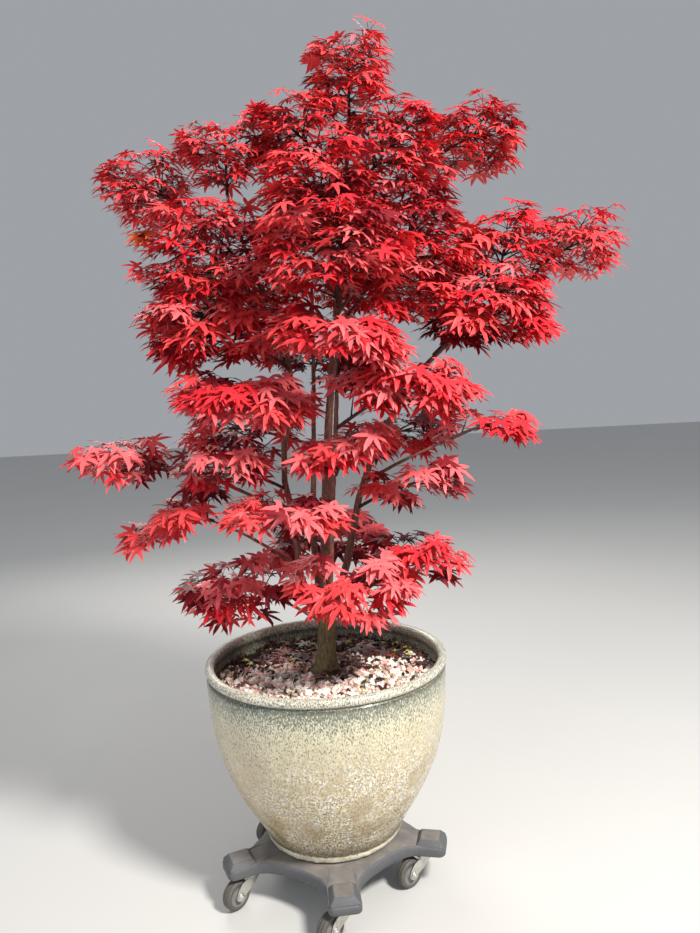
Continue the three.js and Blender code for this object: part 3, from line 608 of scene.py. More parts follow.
pot = make_pot()
print("pot", len(pot.data.polygons), "faces, rim", round(2 * rim_radius, 3), "m across")

# %% [markdown]
# ## Wood, plastic, metal and stone materials
# The bark is olive on the old trunk and reddish tan on young stems, with fine upright cracks and corky dots.
# The stand is charcoal plastic under a film of dust. Each is a plain colour layered with the shared effects.

# %% Plain materials
def bark_material(name, crack_share, depth, main, patch, crack, dot):
    """Bark of two shades in patches, with long upright cracks and corky dots."""
    material, sockets, place = new_material(name, Roughness=0.7)
    grain = effect("relief", place, Size=0.0035, Stretch=6.0, Depth=depth)
    colour = mix_colour(effect("blotches", place, Size=0.035, Softness=0.2)["Mask"], main, patch)
    colour = mix_colour(times(ranged(grain["Height"], 0.42, 0.6), crack_share), crack, colour)
    colour = layer(colour, effect("speckles", place, Spacing=0.0055)["Mask"], 0.5, dot)
    coat(sockets, colour, grain["Normal"])
    return material


def dusty_plastic(name, base, dust, cover):
    """Plastic or rubber with grit all over and a film of dust, thickest where the surface lies level."""
    material, sockets, place = new_material(name)
    film = effect("blotches", place, Size=0.045, Cover=cover, Softness=0.3)["Mask"]
    lying = ranged(split(geometry(place, "Normal"))["Z"], 0.9, 1.0, 0.2)
    colour = layer(base, times(film, lying), 0.85, dust)
    colour = layer(colour, effect("speckles", place)["Mask"], 0.5, dust)
    fine = effect("relief", place, Size=0.0012, Depth=0.00012)["Normal"]
    coat(sockets, colour, fine, plus(times(film, 0.25), 0.5))
    return material


def zinc_material():
    material, sockets, place = new_material("zinc_plate", Metallic=0.85)
    film = effect("blotches", place, Size=0.012, Cover=0.45, Softness=0.25)["Mask"]
    rust = effect("blotches", place, Size=0.006, Cover=0.3, Softness=0.06)["Mask"]
    colour = layer(mix_colour(film, (0.66, 0.65, 0.6), (0.46, 0.45, 0.4)), rust, 0.5, (0.2, 0.1, 0.05))
    fine = effect("relief", place, Size=0.0015, Depth=0.00008)["Normal"]
    coat(sockets, colour, fine, plus(times(film, 0.2), 0.32))
    return material


def stone_material(name, light, dark):
    material, sockets, place = new_material(name, Roughness=0.8)
    veins = effect("blotches", place, Size=0.008, Softness=0.2)["Mask"]
    coat(sockets, mix_colour(veins, light, dark), effect("relief", place, Size=0.0012)["Normal"])
    return material


trunk_bark = bark_material("trunk_bark", 0.7, 0.0016, (0.27, 0.225, 0.085), (0.19, 0.155, 0.06),
                           (0.08, 0.062, 0.026), (0.4, 0.34, 0.18))
stem_bark = bark_material("stem_bark", 0.5, 0.0008, (0.4, 0.19, 0.125), (0.28, 0.115, 0.08),
                          (0.12, 0.045, 0.035), (0.52, 0.34, 0.24))
twig_bark = bark_material("twig_bark", 0.5, 0.0004, (0.12, 0.022, 0.02), (0.07, 0.014, 0.014),
                          (0.03, 0.008, 0.008), (0.22, 0.08, 0.06))
stand_plastic = dusty_plastic("stand_plastic", (0.078, 0.084, 0.098), (0.3, 0.262, 0.222), 0.55)
brake_plastic = dusty_plastic("brake_plastic", (0.014, 0.014, 0.016), (0.08, 0.075, 0.07), 0.25)
tread_rubber = dusty_plastic("tread_rubber", (0.075, 0.07, 0.062), (0.36, 0.3, 0.22), 0.4)
hub_plastic = dusty_plastic("hub_plastic", (0.17, 0.17, 0.17), (0.32, 0.3, 0.26), 0.4)
zinc = zinc_material()
potting_mix = stone_material("potting_mix", (0.035, 0.022, 0.015), (0.012, 0.008, 0.006))
stones = [
    stone_material("white_stone", (0.97, 0.94, 0.88), (0.86, 0.78, 0.68)),
    stone_material("pink_stone", (0.88, 0.53, 0.47), (0.7, 0.34, 0.3)),
    stone_material("tan_stone", (0.55, 0.42, 0.28), (0.36, 0.26, 0.17)),
    stone_material("grey_stone", (0.34, 0.32, 0.3), (0.2, 0.19, 0.18)),
]
# Dark chips: partly bark, partly painted shade over the back of the soil
chip_and_shade = stone_material("chip_and_shade", (0.07, 0.035, 0.022), (0.025, 0.014, 0.01))
print("materials", len(bpy.data.materials))

# %% [markdown]
# ## Stand
# The stand is one plastic moulding: five arms with wide rounded edges run together in a star, which rises a
# little to a round seat in the middle, with a bevelled block at each end. A bevel on a raised outline would
# leave the seat as a disc with an edge. The star is made of rings instead, each the outline drawn in a little
# and set to its own height, so that edge, arm and seat are one smooth skin.

# %% Making the stand
ARM_COUNT = 5
ARM_LENGTH = 0.241
ARM_HALF_WIDTH = 0.032
ARM_CORNER = 0.012
WEB_START = 0.186
WEB_PULL = 0.152
STAND_TURN = math.radians(3.5)
STAR_EDGE = 0.006
STAR_CHAMFER = 0.002
SEAT_END = 0.187
SEAT_SLOPE = 0.022
# How far each ring on the top is drawn in. An inset of 1 m, more than an arm's length, is the middle itself
TOP_INSETS = (0.012, 0.02, 0.03, 0.045, 0.065, 0.085, 0.1, 0.12, 1.0)
BLOCK_START = 0.178
BLOCK_END = ARM_LENGTH - 0.0015
BLOCK_HALF_WIDTH = 0.0305
BLOCK_TAPER = 0.0105
BLOCK_SINK = 0.001
stand_low, stand_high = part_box("stand")
web_height = 0.0175
seat_height = pot_low.z - 0.0003 - stand_low.z
stand_centre = np.array(pot_axis.xy) + (-0.003, -0.023)


def arm_point(index, along, side):
    angle = STAND_TURN + index * 2 * math.pi / ARM_COUNT
    out = np.array((math.sin(angle), -math.cos(angle)))
    across = np.array((-out[1], out[0]))
    return stand_centre + out * along + across * side


def star_outline():
    """The star from above: rounded arm ends and curved webs between the arms."""
    outline = []
    for index in range(ARM_COUNT):
        outline.append(arm_point(index, WEB_START, -ARM_HALF_WIDTH))
        for side, start in ((-1, 180), (1, 90)):
            for step in range(5):
                turn = math.radians(start - 22.5 * step)
                along = ARM_LENGTH - ARM_CORNER + ARM_CORNER * math.sin(turn)
                across = side * (ARM_HALF_WIDTH - ARM_CORNER) + ARM_CORNER * math.cos(turn)
                outline.append(arm_point(index, along, across))
        outline.append(arm_point(index, WEB_START, ARM_HALF_WIDTH))
        web = [arm_point(index, along, ARM_HALF_WIDTH) for along in (WEB_START, WEB_PULL)]
        web += [arm_point(index + 1, along, -ARM_HALF_WIDTH) for along in (WEB_PULL, WEB_START)]
        outline += [bezier(web, t) for t in np.linspace(0, 1, 18)[1:-1]]
    return np.array(outline)


def star_rings():
    """The star as rings: from its underside, over its rounded edge, to its middle."""
    outline = star_outline()
    away = np.linalg.norm(outline - stand_centre, axis=1)
    turns = np.linspace(0, math.pi / 2, 6)
    edge = STAR_EDGE * (1 - np.cos(turns))
    lift = STAR_EDGE * np.sin(turns)
    insets = [1.0, STAR_CHAMFER, 0.0, *edge, *TOP_INSETS]
    levels = [0.0, 0.0, STAR_CHAMFER, *(web_height - STAR_EDGE + lift), *[web_height] * len(TOP_INSETS)]
    points = []
    for inset, level in zip(insets, levels):
        kept = np.maximum(away - inset, 0)
        flat = stand_centre + (outline - stand_centre) / away[:, None] * kept[:, None]
        share = np.clip((SEAT_END - kept) / SEAT_SLOPE, 0, 1)
        rise = (seat_height - web_height) * share ** 2 * (3 - 2 * share) * (level > web_height / 2)
        points.append(np.column_stack([flat, stand_low.z + level + rise]))
    return np.concatenate(points), ring_faces(len(insets), len(outline))


def block_outline(index, inset, height):
    """The outline of the block on an arm's end, drawn in by an inset."""
    start = BLOCK_START + inset
    end = BLOCK_END - inset
    side = BLOCK_HALF_WIDTH - inset
    corners = ((start, -side), (end, -side), (end, side), (start, side))
    return [(*arm_point(index, *corner), height) for corner in corners]


def make_stand():
    star = mesh_object("stand_star", [star_rings()], [stand_plastic])
    merge_points(star)
    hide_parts("stand")
    foot = stand_low.z + web_height - BLOCK_SINK
    blocks = [slab(block_outline(index, 0, foot), block_outline(index, BLOCK_TAPER, stand_high.z))
              for index in range(ARM_COUNT)]
    ends = mesh_object("stand_blocks", blocks, [stand_plastic])
    add_bevel(ends, 0.0028, segments=3, angle=20)
    return star, ends


stand_pieces = make_stand()
print("stand", sum(len(piece.data.polygons) for piece in stand_pieces), "faces")

# %% [markdown]
# ## Casters
# Each caster is a pressed fork that turns under the arm on a ball race, with the wheel on an axle that trails
# behind the swivel. The frame's joints say where each swivel and each axle is, so a caster is built once in
# its own space and carried to each place. Fork and wheel ride on their own bodies.

# %% Making the casters
WHEEL_HALF_WIDTH = 0.011
WHEEL_PLAY = 0.0015
CHEEK = 0.0025
BOSS = 0.0095
AXLE_END = WHEEL_HALF_WIDTH + CHEEK + WHEEL_PLAY
wheel_radius = joints["roll_1"]["pos_m"][2]
# Stands a flat outline or a lathe up, with its axis across the wheel
UPRIGHT = Matrix.Rotation(math.pi / 2, 4, "X")
# Radius and height from the underside of the stand, for the two plates and the balls between them
RACE = [(0.0, -0.0150), (0.012, -0.0150), (0.0165, -0.0135), (0.0175, -0.0115), (0.0175, -0.0095),
        (0.0155, -0.0082), (0.0155, -0.0074), (0.0195, -0.0066), (0.021, -0.0050), (0.021, -0.0015),
        (0.0203, -0.0007), (0.0, -0.0007)]
# Radius and height past the end of the axle
NUT = [(0.0, 0.0055), (0.0040, 0.0055), (0.0046, 0.0045), (0.0046, 0.0035), (0.0075, 0.0032),
       (0.0078, 0.0025), (0.0078, 0.0), (0.0045, 0.0)]
BRAKE_TAB = [(-0.0305, -0.009), (-0.0245, -0.0118), (-0.015, -0.010), (-0.015, 0.010), (-0.0245, 0.0118),
             (-0.0305, 0.009)]


def cheek_outline(trail):
    """The side of the fork, as (along, up), from the swivel plate to the axle boss."""
    top = stand_low.z - 0.0023
    reach = trail - 0.010
    outline = [(-0.014, top), (-0.0135, top - 0.006), (-0.010, top - 0.015), (0.001, wheel_radius + 0.0105),
               (reach - 0.008, wheel_radius + 0.0005)]
    for turn in np.radians(range(200, 381, 15)):
        outline.append((trail + BOSS * math.cos(turn), wheel_radius + BOSS * math.sin(turn)))
    return outline + [(trail + 0.004, wheel_radius + 0.014), (trail - 0.005, top - 0.0145),
                      (0.0185, top - 0.0085), (0.016, top)]


def make_fork(number, place, trail):
    """The two cheeks of a fork, and the ball race and axle that turn with it."""
    cheek = prism(cheek_outline(trail), 0.0, CHEEK)
    inside = WHEEL_HALF_WIDTH + WHEEL_PLAY
    sides = [moved(cheek, place @ Matrix.Translation((0, far, 0)) @ UPRIGHT)
             for far in (-inside, inside + CHEEK)]
    cheeks = mesh_object(f"fork_sides_{number}", sides, [zinc], body=f"caster_{number}")
    add_bevel(cheeks, 0.0006, segments=2)
    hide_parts(f"fork_{number}")
    nut = [(radius, -AXLE_END - past) for radius, past in NUT]
    axle_place = place @ Matrix.Translation((trail, 0, wheel_radius)) @ UPRIGHT
    race_place = place @ Matrix.Translation((0, 0, stand_low.z))
    parts = [moved(lathe(RACE, 40), race_place), moved(lathe(nut + mirrored(nut), 12), axle_place)]
    turning = mesh_object(f"swivel_parts_{number}", parts, [zinc], body=f"caster_{number}")
    add_bevel(turning, 0.0004, segments=1)
    return cheeks, turning


def make_brake(number, place):
    """The rounded foot tab of the brake, on the side away from the wheel."""
    part = moved(prism(BRAKE_TAB, stand_low.z - 0.019, stand_low.z - 0.0015), place)
    tab = mesh_object(f"brake_tab_{number}", [part], [brake_plastic], body=f"caster_{number}")
    add_bevel(tab, 0.0035, segments=4)
    return tab


def make_wheel(number, place):
    """A wheel of two turned parts, a hub and a tyre with a groove at each side of its middle."""
    half = WHEEL_HALF_WIDTH
    rim = wheel_radius
    hub_side = [(0.0049, half - 0.0012), (0.0092, half - 0.0008), (0.0105, half - 0.0035),
                (0.0185, half - 0.0035), (0.0205, half - 0.0012)]
    tyre_side = [hub_side[-1], (0.0245, half - 0.0003), (rim - 0.0042, half - 0.0006),
                 (rim - 0.0017, half - 0.0019), (rim - 0.0004, half - 0.0042), (rim, 0.0045),
                 (rim - 0.0008, 0.0042), (rim - 0.0008, 0.0032), (rim, 0.0029)]
    profiles = [tyre_side + mirrored(tyre_side), mirrored(hub_side) + hub_side]
    parts = [(*moved(lathe(profile, 72), place @ UPRIGHT), slot) for slot, profile in enumerate(profiles)]
    wheel = mesh_object(f"wheel_skin_{number}", parts, [tread_rubber, hub_plastic], body=f"wheel_{number}")
    merge_points(wheel)
    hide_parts(f"wheel_{number}")
    return wheel


def make_casters():
    pieces = []
    for number in range(1, ARM_COUNT + 1):
        swivel = Vector(joints[f"swivel_{number}"]["pos_m"])
        hub = Vector(joints[f"roll_{number}"]["pos_m"])
        trail = (hub - swivel).to_2d()
        heading = Matrix.Rotation(math.atan2(trail.y, trail.x), 4, "Z")
        place = Matrix.Translation((swivel.x, swivel.y, 0)) @ heading
        pieces += make_fork(number, place, trail.length)
        pieces.append(make_brake(number, place))
        pieces.append(make_wheel(number, Matrix.Translation(hub) @ heading))
    return pieces


caster_pieces = make_casters()
print("casters", len(caster_pieces), "pieces")

# %% [markdown]
# ## Soil, gravel and fallen leaves
# The soil is topped with crushed white, pink and tan stone at the front and with bark and old leaves behind.
# The dark chips and leaves behind are partly painted shade, for the shade that lies over the back of the
# soil.
# Stones could be scattered by a particle system, but those don't survive an export, so each stone is a small
# block with its corners moved, and all of them are joined into one mesh.

# %% Making the soil and the stones
SOIL_RINGS = 26
SOIL_SEGMENTS = 96
SOIL_OVERLAP = 0.004
STONE_COUNT = 6400
CHIP_COUNT = 1900
STONE_SHARES = (0.58, 0.22, 0.15, 0.05)
TRUNK_CLEAR = 0.036
soil_low, soil_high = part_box("soil")
soil_radius = (soil_high.x - soil_low.x) / 2
trunk_low, trunk_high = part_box("trunk")
trunk_foot = Vector(((trunk_low.x + trunk_high.x) / 2, (trunk_low.y + trunk_high.y) / 2, soil_high.z))


def soil_height(x, y):
    """The top of the soil at a place, mounded towards the trunk."""
    away = math.hypot(x - pot_axis.x, y - pot_axis.y) / soil_radius
    lumps = 0.0035 * noise.noise(Vector((x * 18, y * 18, 0)))
    lumps += 0.0015 * noise.noise(Vector((x * 60, y * 60, 3)))
    return soil_high.z - 0.001 - 0.009 * away * away + lumps * min(1.0, 1.6 - away)


def soil_point(centre, away, turn):
    """The point on the soil at a distance and a direction from a centre."""
    x = centre.x + away * math.cos(turn)
    y = centre.y + away * math.sin(turn)
    return np.array((x, y, soil_height(x, y)))


def make_soil():
    edge = soil_radius + SOIL_OVERLAP
    points = [soil_point(pot_axis, 0, 0)]
    for ring in range(1, SOIL_RINGS + 1):
        for step in range(SOIL_SEGMENTS):
            points.append(soil_point(pot_axis, edge * ring / SOIL_RINGS, 2 * math.pi * step / SOIL_SEGMENTS))
    middle = [(0, 1 + step, 1 + (step + 1) % SOIL_SEGMENTS) for step in range(SOIL_SEGMENTS)]
    rings = [(a, d, c, b) for a, b, c, d in ring_faces(SOIL_RINGS, SOIL_SEGMENTS, start=1)]
    soil = mesh_object("soil_top", [(points, middle + rings)], [potting_mix])
    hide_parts("soil")


def random_turn(random):
    """A random rotation, as a 3 by 3 array."""
    spin, _ = np.linalg.qr(random.normal(size=(3, 3)))
    return spin * np.sign(np.linalg.det(spin))


def stone_place(random):
    """A random place on the soil, clear of the trunk, and how far behind the gravel's edge it is."""
    while True:
        turn = random.uniform(0, 2 * math.pi)
        place = soil_point(pot_axis, soil_radius * 0.985 * math.sqrt(random.uniform()), turn)
        x, y, _ = place
        if math.hypot(x - trunk_foot.x, y - trunk_foot.y) > TRUNK_CLEAR:
            edge = 0.055 + 0.05 * noise.noise(Vector((x * 9, 5, 0))) - 0.25 * max(0.0, x - pot_axis.x - 0.12)
            return place, y - pot_axis.y - edge


def make_stones():
    """The gravel and the dark chips, partly bark and partly painted shade behind the gravel, each kind joined
    into one mesh.
    """
    random = np.random.default_rng(41)
    corners, sides = prism([(-1, -1), (1, -1), (1, 1), (-1, 1)], -1, 1)
    shape = np.array(corners) * 0.62
    faces = halves(sides)
    gravel = []
    chips = []
    for number in range(STONE_COUNT + CHIP_COUNT):
        is_chip = number >= STONE_COUNT
        place, behind = stone_place(random)
        if not is_chip and behind > random.normal(0, 0.022):
            continue
        # Chips lie mostly behind the gravel's edge, where shade falls: partly real bark, partly painted shade
        if is_chip and behind < random.normal(-0.02, 0.05) and random.uniform() < 0.9:
            continue
        size = random.uniform(0.004, 0.008) if is_chip else random.gamma(6.0, 0.00045) + 0.0016
        stretch = (1.9, 0.9, 0.35) if is_chip else (1.15, 0.95, 0.75)
        stone = (shape + random.uniform(-0.3, 0.3, size=shape.shape)) * size * np.array(stretch)
        place[2] += random.uniform(0.1, 1.1) * size
        stone = stone @ random_turn(random).T + place
        if is_chip:
            chips.append((stone, faces))
        else:
            gravel.append((stone, faces, int(random.choice(len(stones), p=STONE_SHARES))))
    gravel_piece = mesh_object("gravel", gravel, stones, smooth=False)
    chip_piece = mesh_object("chips_and_shade", chips, [chip_and_shade], smooth=False)
    return len(gravel), len(chips)


make_soil()
print("stones and bark chips", make_stones())

# %% [markdown]
# ## Trunk, stems and boughs
# The limbs of the frame are faceted tubes that stop a hair short of each other. Real wood has no joins, so
# the limbs are copied together and remeshed into one skin, which closes the gaps and rounds the facets. The
# skin is then pushed in and out for the bark: upright cracks on the trunk, rings and buds on young stems.

# %% Growing one skin over the limbs
LIMB_VOXEL = 0.0024
OLD_BARK_TOP = 0.57
STEMS = sorted(name for name in frame["nodes"] if name.startswith("stem_"))
BOUGHS = sorted(name for name in frame["nodes"] if name.startswith("bough_"))
LIMBS = ["trunk"] + STEMS + BOUGHS


def solid_part(name):
    """A solid of the frame as a part."""
    mesh = frame["nodes"][name].data
    return [vertex.co[:] for vertex in mesh.vertices], [tuple(face.vertices) for face in mesh.polygons]


def bark_relief(point):
    """How far the bark stands out at a point: cracks and flutes low down, faint rings higher up."""
    age = min(1.0, max(0.0, (OLD_BARK_TOP + 0.12 - point.z) / 0.2))
    flute = noise.noise(Vector((point.x * 55, point.y * 55, point.z * 9))) * 0.0013
    crack = noise.noise(Vector((point.x * 190, point.y * 190, point.z * 34))) * 0.00075
    ring = noise.noise(Vector((point.x * 12, point.y * 12, point.z * 95))) * 0.0005
    return (flute + crack) * (0.3 + 0.7 * age) + ring


def is_young(face):
    """Whether a face is above the ragged edge of the old bark."""
    return face.center.z + 0.03 * noise.noise(face.center * 40) >= OLD_BARK_TOP


def make_limbs():
    limbs = mesh_object("trunk_and_boughs", [solid_part(name) for name in LIMBS], [trunk_bark, stem_bark])
    merge_points(limbs)
    remesh = limbs.modifiers.new("one_skin", "REMESH")
    remesh.mode = "VOXEL"
    remesh.voxel_size = LIMB_VOXEL
    smooth = limbs.modifiers.new("round_facets", "SMOOTH")
    smooth.factor = 0.5
    smooth.iterations = 4
    apply_modifiers(limbs)
    push_out(limbs, bark_relief)
    faces = limbs.data.polygons
    faces.foreach_set("material_index", [int(is_young(face)) for face in faces])
    faces.foreach_set("use_smooth", [True] * len(faces))
    limbs.data.update()
    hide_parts(*LIMBS)
    return limbs


limbs = make_limbs()
print("limbs", len(limbs.data.polygons), "faces in one skin over", len(LIMBS), "limbs")

# %% [markdown]
# ## The shape of a leaf
# A leaf of this maple is a star of five to seven slender lobes, cut almost to the stalk. Each lobe is folded
# along its midrib and droops towards its tip. A few leaf shapes are drawn once, from angles and lengths, and
# every leaf of the crown is a copy of one of them, so that thousands of leaves cost little to make.

# %% Drawing the leaf shapes
LOBES = {
    "seven": [(-140, 0.36), (-92, 0.68), (-44, 0.92), (0, 1.0), (44, 0.92), (92, 0.68), (140, 0.36)],
    "five": [(-112, 0.55), (-55, 0.88), (0, 1.0), (55, 0.88), (112, 0.55)],
}
LEAF_BENDS = ((0.08, -0.06), (0.16, 0.06), (0.24, -0.14), (0.2, 0.0), (0.36, -0.1))
LEAF_BASE = 24
LOBE_NOTCH = 0.25
LOBE_STATIONS = ((0.48, 0.112), (0.75, 0.08))
MIDRIB_FOLD = 0.027
NOTCH_FOLD = 0.012


def leaf_shape(lobes, droop, cup, random):
    """Points and faces of one leaf of unit length, lying in X and Y with its stalk end at the origin."""
    angles = [angle for angle, _ in lobes]
    between = [(a + b) / 2 for a, b in zip(angles, angles[1:])]
    points = [(0.0, 0.0, 0.0)]
    faces = []
    for index, angle in enumerate([angles[0] - LEAF_BASE, *between, angles[-1] + LEAF_BASE]):
        depth = LOBE_NOTCH * (0.55 if index in (0, len(lobes)) else random.uniform(0.85, 1.15))
        turn = math.radians(angle)
        points.append((depth * math.cos(turn), depth * math.sin(turn), NOTCH_FOLD))
    for index, (angle, length) in enumerate(lobes):
        length *= random.uniform(0.93, 1.05)
        turn = math.radians(angle + random.uniform(-4, 4))
        along = np.array((math.cos(turn), math.sin(turn)))
        across = np.array((-along[1], along[0]))
        a, b, c, d, e, f, tip = range(len(points), len(points) + 7)
        right = 1 + index
        left = 2 + index
        for reach, half in LOBE_STATIONS:
            middle = along * reach * length + across * random.uniform(-0.02, 0.02)
            width = half * (0.75 + 0.25 * length)
            points += [(*(middle + across * width * side), abs(side) * MIDRIB_FOLD) for side in (-1, 0, 1)]
        points.append((*(along * length + across * random.uniform(-0.05, 0.05)), 0.0))
        faces += [(0, right, b), (0, b, left), (right, a, b), (b, c, left), (a, d, e), (a, e, b), (b, e, f),
                  (b, f, c), (d, tip, e), (e, tip, f)]
    shape = np.array(points)
    shape[:, 2] += cup * shape[:, 1] ** 2 - droop * (shape[:, :2] ** 2).sum(axis=1)
    return shape, faces


def make_leaf_shapes():
    random = np.random.default_rng(7)
    return [leaf_shape(lobes, droop, cup, random) for droop, cup in LEAF_BENDS for lobes in LOBES.values()]


def leaf_part(shape, place, forward, normal, size, slot):
    """A leaf of one of the shapes as a part, pointing forward and facing along its normal."""
    points, faces = leaf_shapes[shape]
    basis = np.stack([forward, np.cross(normal, forward), normal])
    return points @ basis * size + place, faces, slot


leaf_shapes = make_leaf_shapes()
print("leaf shapes", len(leaf_shapes), "with", [len(faces) for _, faces in leaf_shapes], "faces")

# %% [markdown]
# ## Leaf colours
# The crown isn't one red. Most sprays are scarlet or crimson. Lower and front ones are coral, a paler red
# whose pink, like the pink tint of scarlet, partly paints the sheen of sunlit leaves. Sprays inside the lower
# crown are maroon, partly a darker red and partly painted shade. A few sprays turn orange or bronze. The
# colour has a place, spray by spray, so each is a plain material that is dealt out to sprays as they grow.
# Inside a leaf only a faint
# mottle and a lighter underside are added: partly a paler underside, partly painted light shining through the
# leaf.

# %% Leaf materials
# Colours of the top and of the underside. Each underside is lighter: partly a paler underside, partly painted
# light shining through the leaf.
LEAF_COLOURS = {
    # The pink tint of scarlet and coral partly paints the sheen of sunlit leaves
    "scarlet": ((0.79, 0.06, 0.067), (0.83, 0.088, 0.094)),
    "crimson": ((0.7, 0.024, 0.036), (0.76, 0.045, 0.055)),
    # coral: a paler red, dealt to the low front sprays, partly painted sheen of sunlit leaves
    "coral_and_painted_sheen": ((0.8, 0.128, 0.14), (0.82, 0.15, 0.16)),
    # maroon: a darker red, dealt to the shaded inner sprays as painted shade
    "maroon_and_painted_shade": ((0.22, 0.01, 0.018), (0.24, 0.014, 0.022)),
    "orange": ((0.82, 0.12, 0.03), (0.8, 0.14, 0.05)),
    "bronze": ((0.4, 0.085, 0.05), (0.4, 0.1, 0.06)),
}
COLOUR_NAMES = list(LEAF_COLOURS)
MOTTLE_SHADE = 0.72


def leaf_material(name, top, under):
    material, sockets, place = new_material(name, Roughness=0.45, Specular_IOR_Level=0.3)
    mottle = effect("blotches", place, Size=0.02, Softness=0.3)["Mask"]
    upper = layer(top, mottle, 0.7, tuple(channel * MOTTLE_SHADE for channel in top))
    # For the crown's leaves the underside colour is lighter: partly a paler underside, partly painted light
    # shining through the leaf
    colour = mix_colour(geometry(place, "Backfacing"), upper, under)
    coat(sockets, colour, effect("relief", place, Size=0.004, Depth=0.0006)["Normal"])
    return material


leaf_materials = [leaf_material(f"leaf_{name}", *colours) for name, colours in LEAF_COLOURS.items()]
print("leaf colours", ", ".join(COLOUR_NAMES))

# %% [markdown]
# ## Fallen leaves
# Old leaves lie round the foot of the trunk and behind it, curled and half dry, with a few fresh yellow-green
# scraps. The dark leaves behind the trunk are partly painted shade, for the shade over the back of the soil.
# They could be dropped by a physics run. Here a seeded rule lays each one almost flat at the soil's
# own height, which is enough for so few leaves.

# %% Laying the fallen leaves
FALLEN_LEAVES = 150
LEAVES_AT_TRUNK = 46
FALLEN_SCRAPS = 56
LITTER_SHARES = (0.62, 0.24, 0.14)
LITTER = [
    leaf_material("fallen_dark", (0.075, 0.018, 0.014), (0.1, 0.035, 0.025)),
    leaf_material("fallen_red", (0.26, 0.03, 0.025), (0.2, 0.05, 0.04)),
    leaf_material("fallen_dry", (0.3, 0.17, 0.09), (0.26, 0.16, 0.1)),
    leaf_material("fresh_scrap", (0.5, 0.5, 0.09), (0.42, 0.44, 0.12)),
]


def litter_place(random, at_trunk):
    """A place on the soil, close round the trunk's foot or mostly behind it."""
    while True:
        turn = random.uniform(0, 2 * math.pi)
        if at_trunk:
            return soil_point(trunk_foot, random.uniform(0.034, 0.078), turn)
        place = soil_point(pot_axis, soil_radius * 0.93 * random.uniform(0.16, 1) ** 0.8, turn)
        # Most leaves lie behind the trunk, where shade falls: partly real litter, partly painted shade
        if place[1] > pot_axis.y + 0.04 or random.uniform() < 0.09:
            return place


def make_litter():
    random = np.random.default_rng(63)
    parts = []
    for number in range(FALLEN_LEAVES + FALLEN_SCRAPS):
        is_scrap = number >= FALLEN_LEAVES
        size = random.uniform(0.010, 0.017) if is_scrap else random.uniform(0.026, 0.042)
        lift = np.array((0, 0, random.uniform(0.004, 0.014)))
        turn = random.uniform(0, 2 * math.pi)
        forward = unit(np.array((math.cos(turn), math.sin(turn), random.uniform(-0.25, 0.25))))
        side = unit(np.cross((random.normal(0, 0.2), random.normal(0, 0.2), 1.0), forward))
        shape = int(random.integers(len(leaf_shapes)))
        place = litter_place(random, number < LEAVES_AT_TRUNK) + lift
        slot = 3 if is_scrap else int(random.choice(3, p=LITTER_SHARES))
        parts.append(leaf_part(shape, place, forward, np.cross(forward, side), size, slot))
    litter = mesh_object("fallen_leaves", parts, LITTER)


make_litter()
print("fallen leaves", FALLEN_LEAVES, "and scraps", FALLEN_SCRAPS)

# %% [markdown]
# ## How the crown grows
# Every mass of foliage in the frame is fed by one stem from a bough or a stem. The same rule is carried on
# here. The feeding stem runs from its foot into the mass, twigs leave it for seeded places spread evenly
# through the mass, side shoots leave the twigs, and leaves sit on them in opposite pairs on thin stalks. The
# twigs rise a little and then level out, which gives this plant its flat, layered sprays.

# %% Growing twigs and leaves
SPACE_GROWTH = 1.1
SPACE_EXTRA = 0.014
LEAF_REACH = 1.22
OPEN_LOW = 0.75
OPEN_HIGH = 1.13
PAD_FLATNESS = 0.58
INNER_REACH = 0.26
INNER_SHARE = 0.94
PAD_LEAN = 0.2
TWIGS_PER_MASS = 14
TWIGS_POWER = 1.25
FLAT_ABOVE = 1.2
FULLNESS = ((0.97, 0.72), (FLAT_ABOVE, 1.12), (9.0, 1.22))
GOLDEN_TURN = math.pi * (3 - 5 ** 0.5)
NODE_SPACING = 0.022
LEAF_LENGTH = 0.0415
HIGH_LEAF_SIZE = 0.84
STALK_LENGTH = 0.020
# Radius at the foot and at the tip, and the number of sides
STALK = (0.00065, 0.00045, 3)
SHOOT = (0.0011, 0.0006, 3)
FEEDER = (0.0038, 0.0018, 6)
MIXED_IN = [COLOUR_NAMES.index(name) for name in ("scarlet", "crimson", "coral_and_painted_sheen", "maroon_and_painted_shade")]
MIXED_SHARE = 0.14
UP = np.array((0.0, 0.0, 1.0))
LEVEL = np.array((1, 1, 0))
LIGHT_SIDE = np.array((0.35, -0.75, 0.55))
LOW_PULL = 0.55
HIGH_PULL = 0.25
BOUNDS_MARGIN = 0.006
bounds_low = np.array(cad_bounds[0]) - BOUNDS_MARGIN
bounds_high = np.array(cad_bounds[1]) + BOUNDS_MARGIN


def arc_points(start, middle, end, count):
    t = np.linspace(0, 1, count)[:, None]
    return (1 - t) ** 2 * start + 2 * t * (1 - t) * middle + t ** 2 * end


